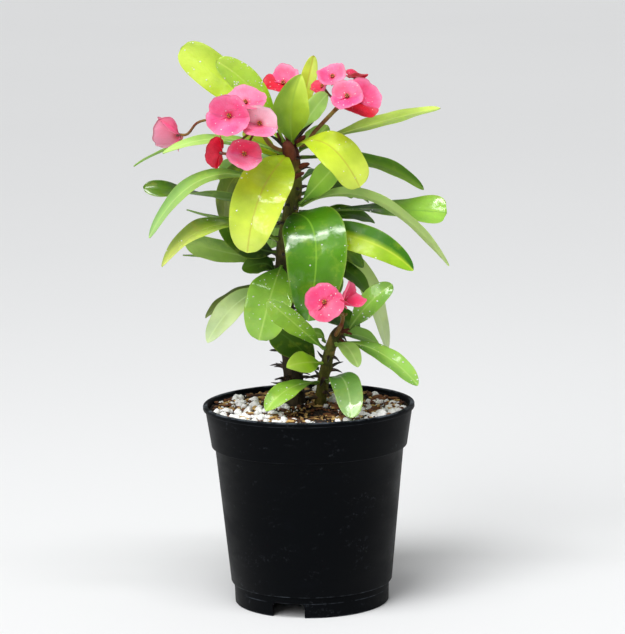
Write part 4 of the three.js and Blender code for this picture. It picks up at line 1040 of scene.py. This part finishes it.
# ---- pot ----
def build_pot(material):
    under, band_top = POT_HEIGHT - LIP_HEIGHT, RIM_RADIUS - LIP_OVERHANG
    wall_top, floor_top = BAND_FOOT_RADIUS - STEP_IN, FLOOR_HEIGHT + FLOOR_THICKNESS
    profile = [
        (6, FLOOR_HEIGHT), (WALL_FOOT_RADIUS - 5, FLOOR_HEIGHT), (FOOT_RADIUS - 2.2, FLOOR_HEIGHT - 1),
        (FOOT_RADIUS - 1.9, 0.2), (FOOT_RADIUS - 1.7, 0), (FOOT_RADIUS - 0.3, 0), (FOOT_RADIUS, 0.3),
        (SKIRT_RADIUS, SKIRT_HEIGHT - 0.6), (SKIRT_RADIUS + 0.3, SKIRT_HEIGHT - 0.3),
        (WALL_FOOT_RADIUS - 0.3, SKIRT_HEIGHT - 0.1), (WALL_FOOT_RADIUS, SKIRT_HEIGHT + 0.4),
        ((WALL_FOOT_RADIUS + wall_top) / 2, (SKIRT_HEIGHT + STEP_Z) / 2),
        (wall_top, STEP_Z - 0.8), (wall_top + 0.3, STEP_Z - 0.3), (BAND_FOOT_RADIUS - 0.6, STEP_Z),
        (BAND_FOOT_RADIUS - 0.1, STEP_Z + 0.2), (BAND_FOOT_RADIUS, STEP_Z + 0.7),
        (band_top - 0.1, under - 0.6), (band_top, under), (RIM_RADIUS - 0.15, under + 0.15),
        (RIM_RADIUS, under + 0.5), (RIM_RADIUS, POT_HEIGHT - 0.7),
        (RIM_RADIUS - 0.2, POT_HEIGHT - 0.2), (RIM_RADIUS - 0.6, POT_HEIGHT),
        (band_top - POT_WALL + 0.3, POT_HEIGHT), (band_top - POT_WALL, POT_HEIGHT - 0.4),
        (pot_inside(STEP_Z + 1.7), STEP_Z + 1.7), (pot_inside(STEP_Z), STEP_Z),
        (pot_inside(floor_top) + 0.2, floor_top + 1), (pot_inside(floor_top) - 1, floor_top), (6, floor_top),
    ]
    mesh = Mesh()
    mesh.add(*lathe(profile, 240))
    pot = mesh.build("pot_shell", material, ["pot"], "pot")
    cutter = pot_cutters()
    cut = pot.modifiers.new("holes", "BOOLEAN")
    cut.operation, cut.object, cut.solver = "DIFFERENCE", cutter, "EXACT"
    soften = pot.modifiers.new("edges", "BEVEL")
    soften.width, soften.segments = 0.0003, 2
    soften.limit_method, soften.angle_limit = "ANGLE", math.radians(50)
    apply_modifiers(pot)
    bpy.data.objects.remove(cutter)
    pot.data.set_sharp_from_angle(angle=math.radians(40))


def pot_cutters():
    mesh = Mesh()
    w, h, c = NOTCH_WIDTH / 2, NOTCH_HEIGHT, NOTCH_BEVEL
    corner = [(w - c + c * math.cos(a), h - c + c * math.sin(a)) for a in np.linspace(0, 1.57, 5)]
    shape = [(-w, -1), (w, -1)] + corner + [(-y, z) for y, z in corner[::-1]]
    for k in range(NOTCHES):
        way = spoke(math.radians(NOTCH_TURN + 360 / NOTCHES * k), EAST, NORTH)
        side, reach = np.cross(UP, way), (FOOT_RADIUS - 6, SKIRT_RADIUS + 4)
        mesh.add([way * r + side * y + UP * z for r in reach for y, z in shape], capped(2, len(shape)))
    for k in range(DRAIN_HOLES):
        spot = DRAIN_CIRCLE * spoke(2 * math.pi * (k + 0.5) / DRAIN_HOLES, EAST, NORTH)
        line = [spot + UP * (FLOOR_HEIGHT + z) for z in (-4, 4)]
        mesh.add(*tube(line, [DRAIN_RADIUS] * 2, 32))
    return put("cutter", mesh.shape("cutter"))


def apply_modifiers(obj):
    depsgraph = bpy.context.evaluated_depsgraph_get()
    made = bpy.data.meshes.new_from_object(obj.evaluated_get(depsgraph))
    obj.modifiers.clear()
    obj.data = made


# ---- stage, light, camera ----
# Metres and radians
FLOOR = 60  # half its width
PHOTO_LONG_SIDE = 634  # pixels
FOCAL_PIXELS = 2800
CAMERA_BACK, CAMERA_HEIGHT = 1.5, 0.401
PITCH, YAW, ROLL = 0.1612, 0.0019, -0.0169


def build_camera():
    forward = spoke(PITCH, spoke(YAW, NORTH, EAST), -UP)
    level = spoke(YAW, EAST, -NORTH)
    upright = np.cross(level, forward)
    right, up = spoke(ROLL, level, upright), spoke(ROLL, upright, -level)
    data = bpy.data.cameras.new("camera")
    data.lens = FOCAL_PIXELS / PHOTO_LONG_SIDE * data.sensor_width
    data.clip_start, data.clip_end = 0.05, 200
    place = AXIS / 1000 + vec(0, -CAMERA_BACK, CAMERA_HEIGHT)
    rows = np.stack([right, up, -forward, place], 1)
    camera = put("camera", data)
    camera.matrix_world = Matrix([*rows.tolist(), (0, 0, 0, 1)])
    bpy.context.scene.camera = camera


def lamp(name, kind, energy, place, aim=(0, 0, 0), **settings):
    data = bpy.data.lights.new(name, kind)
    data.energy = energy
    for key, value in settings.items():
        setattr(data, key, value)
    obj = put(name, data)
    obj.location = place
    obj.rotation_euler = (Vector(aim) - Vector(place)).to_track_quat("-Z", "Y").to_euler()


def build_stage():
    me = bpy.data.meshes.new("floor")
    corners = [(-FLOOR, -FLOOR, 0), (FLOOR, -FLOOR, 0), (FLOOR, FLOOR, 0), (-FLOOR, FLOOR, 0)]
    me.from_pydata(corners, [], [(0, 1, 2, 3)])
    look = Look("floor", Roughness=0.9, Specular_IOR_Level=0.1)
    look.set("Base Color", look.tint((235, 236, 237), (237, 238, 239), look.noise(0.4), 0.3, 0.7))
    me.materials.append(look.material)
    put("floor", me)
    world = bpy.data.worlds.new("world")
    world.use_nodes = True
    light = world.node_tree.nodes["Background"].inputs
    light["Color"].default_value, light["Strength"].default_value = (1, 1, 1, 1), 0.3
    bpy.context.scene.world = world
    lamp("top", "SUN", 1.1, (-0.15, -0.35, 1), angle=math.radians(26))
    lamp("front", "SUN", 1.35, (-0.7, -1.0, 0.75), angle=math.radians(40))
    lamp("strip", "AREA", 8.5, (-0.05, -0.42, 1.5), (0, 0, 0.22), shape="RECTANGLE", size=1.3, size_y=0.2)
    bpy.context.scene.view_settings.view_transform = "Standard"


# ---- the whole ----
def build():
    build_pot(pot_look())
    build_soil(soil_look())
    perlite, chip = perlite_look(), chip_look()
    scatter("perlite", perlite, 460, (0.6, 2.8), (1, 0.85, 0.75), 0.3, 21, rough=0.6, where=speckle)
    scatter("perlite_dust", perlite, 800, (0.3, 0.8), (1, 0.9, 0.8), 0.5, 22, level=1, where=speckle)
    scatter("bark_chips", chip, 520, (0.8, 2.8), (1.5, 0.6, 0.3), 0.35, 23, hue=0.65, rough=0.25)
    scatter("peat_crumbs", chip, 1500, (0.5, 1.4), (1, 0.85, 0.7), 0.3, 24, hue=1.4)
    crowd, room = crowding()
    bark, thorn = stem_look(), spine_look()
    for stem in STEMS:
        build_stem(stem, bark, thorn, crowd, room)
    green = leaf_look()
    surfaces = {leaf.name: build_leaf(i, leaf, green) for i, leaf in enumerate(LEAVES)}
    dew = dew_look()
    build_dew(surfaces, dew)
    looks = {"bract": bract_look(), "cup": cup_look(), "stalk": stalk_look(), "dew": dew}
    for name, head in HEADS.items():
        build_head(name, head, looks)


build()
build_stage()
build_camera()
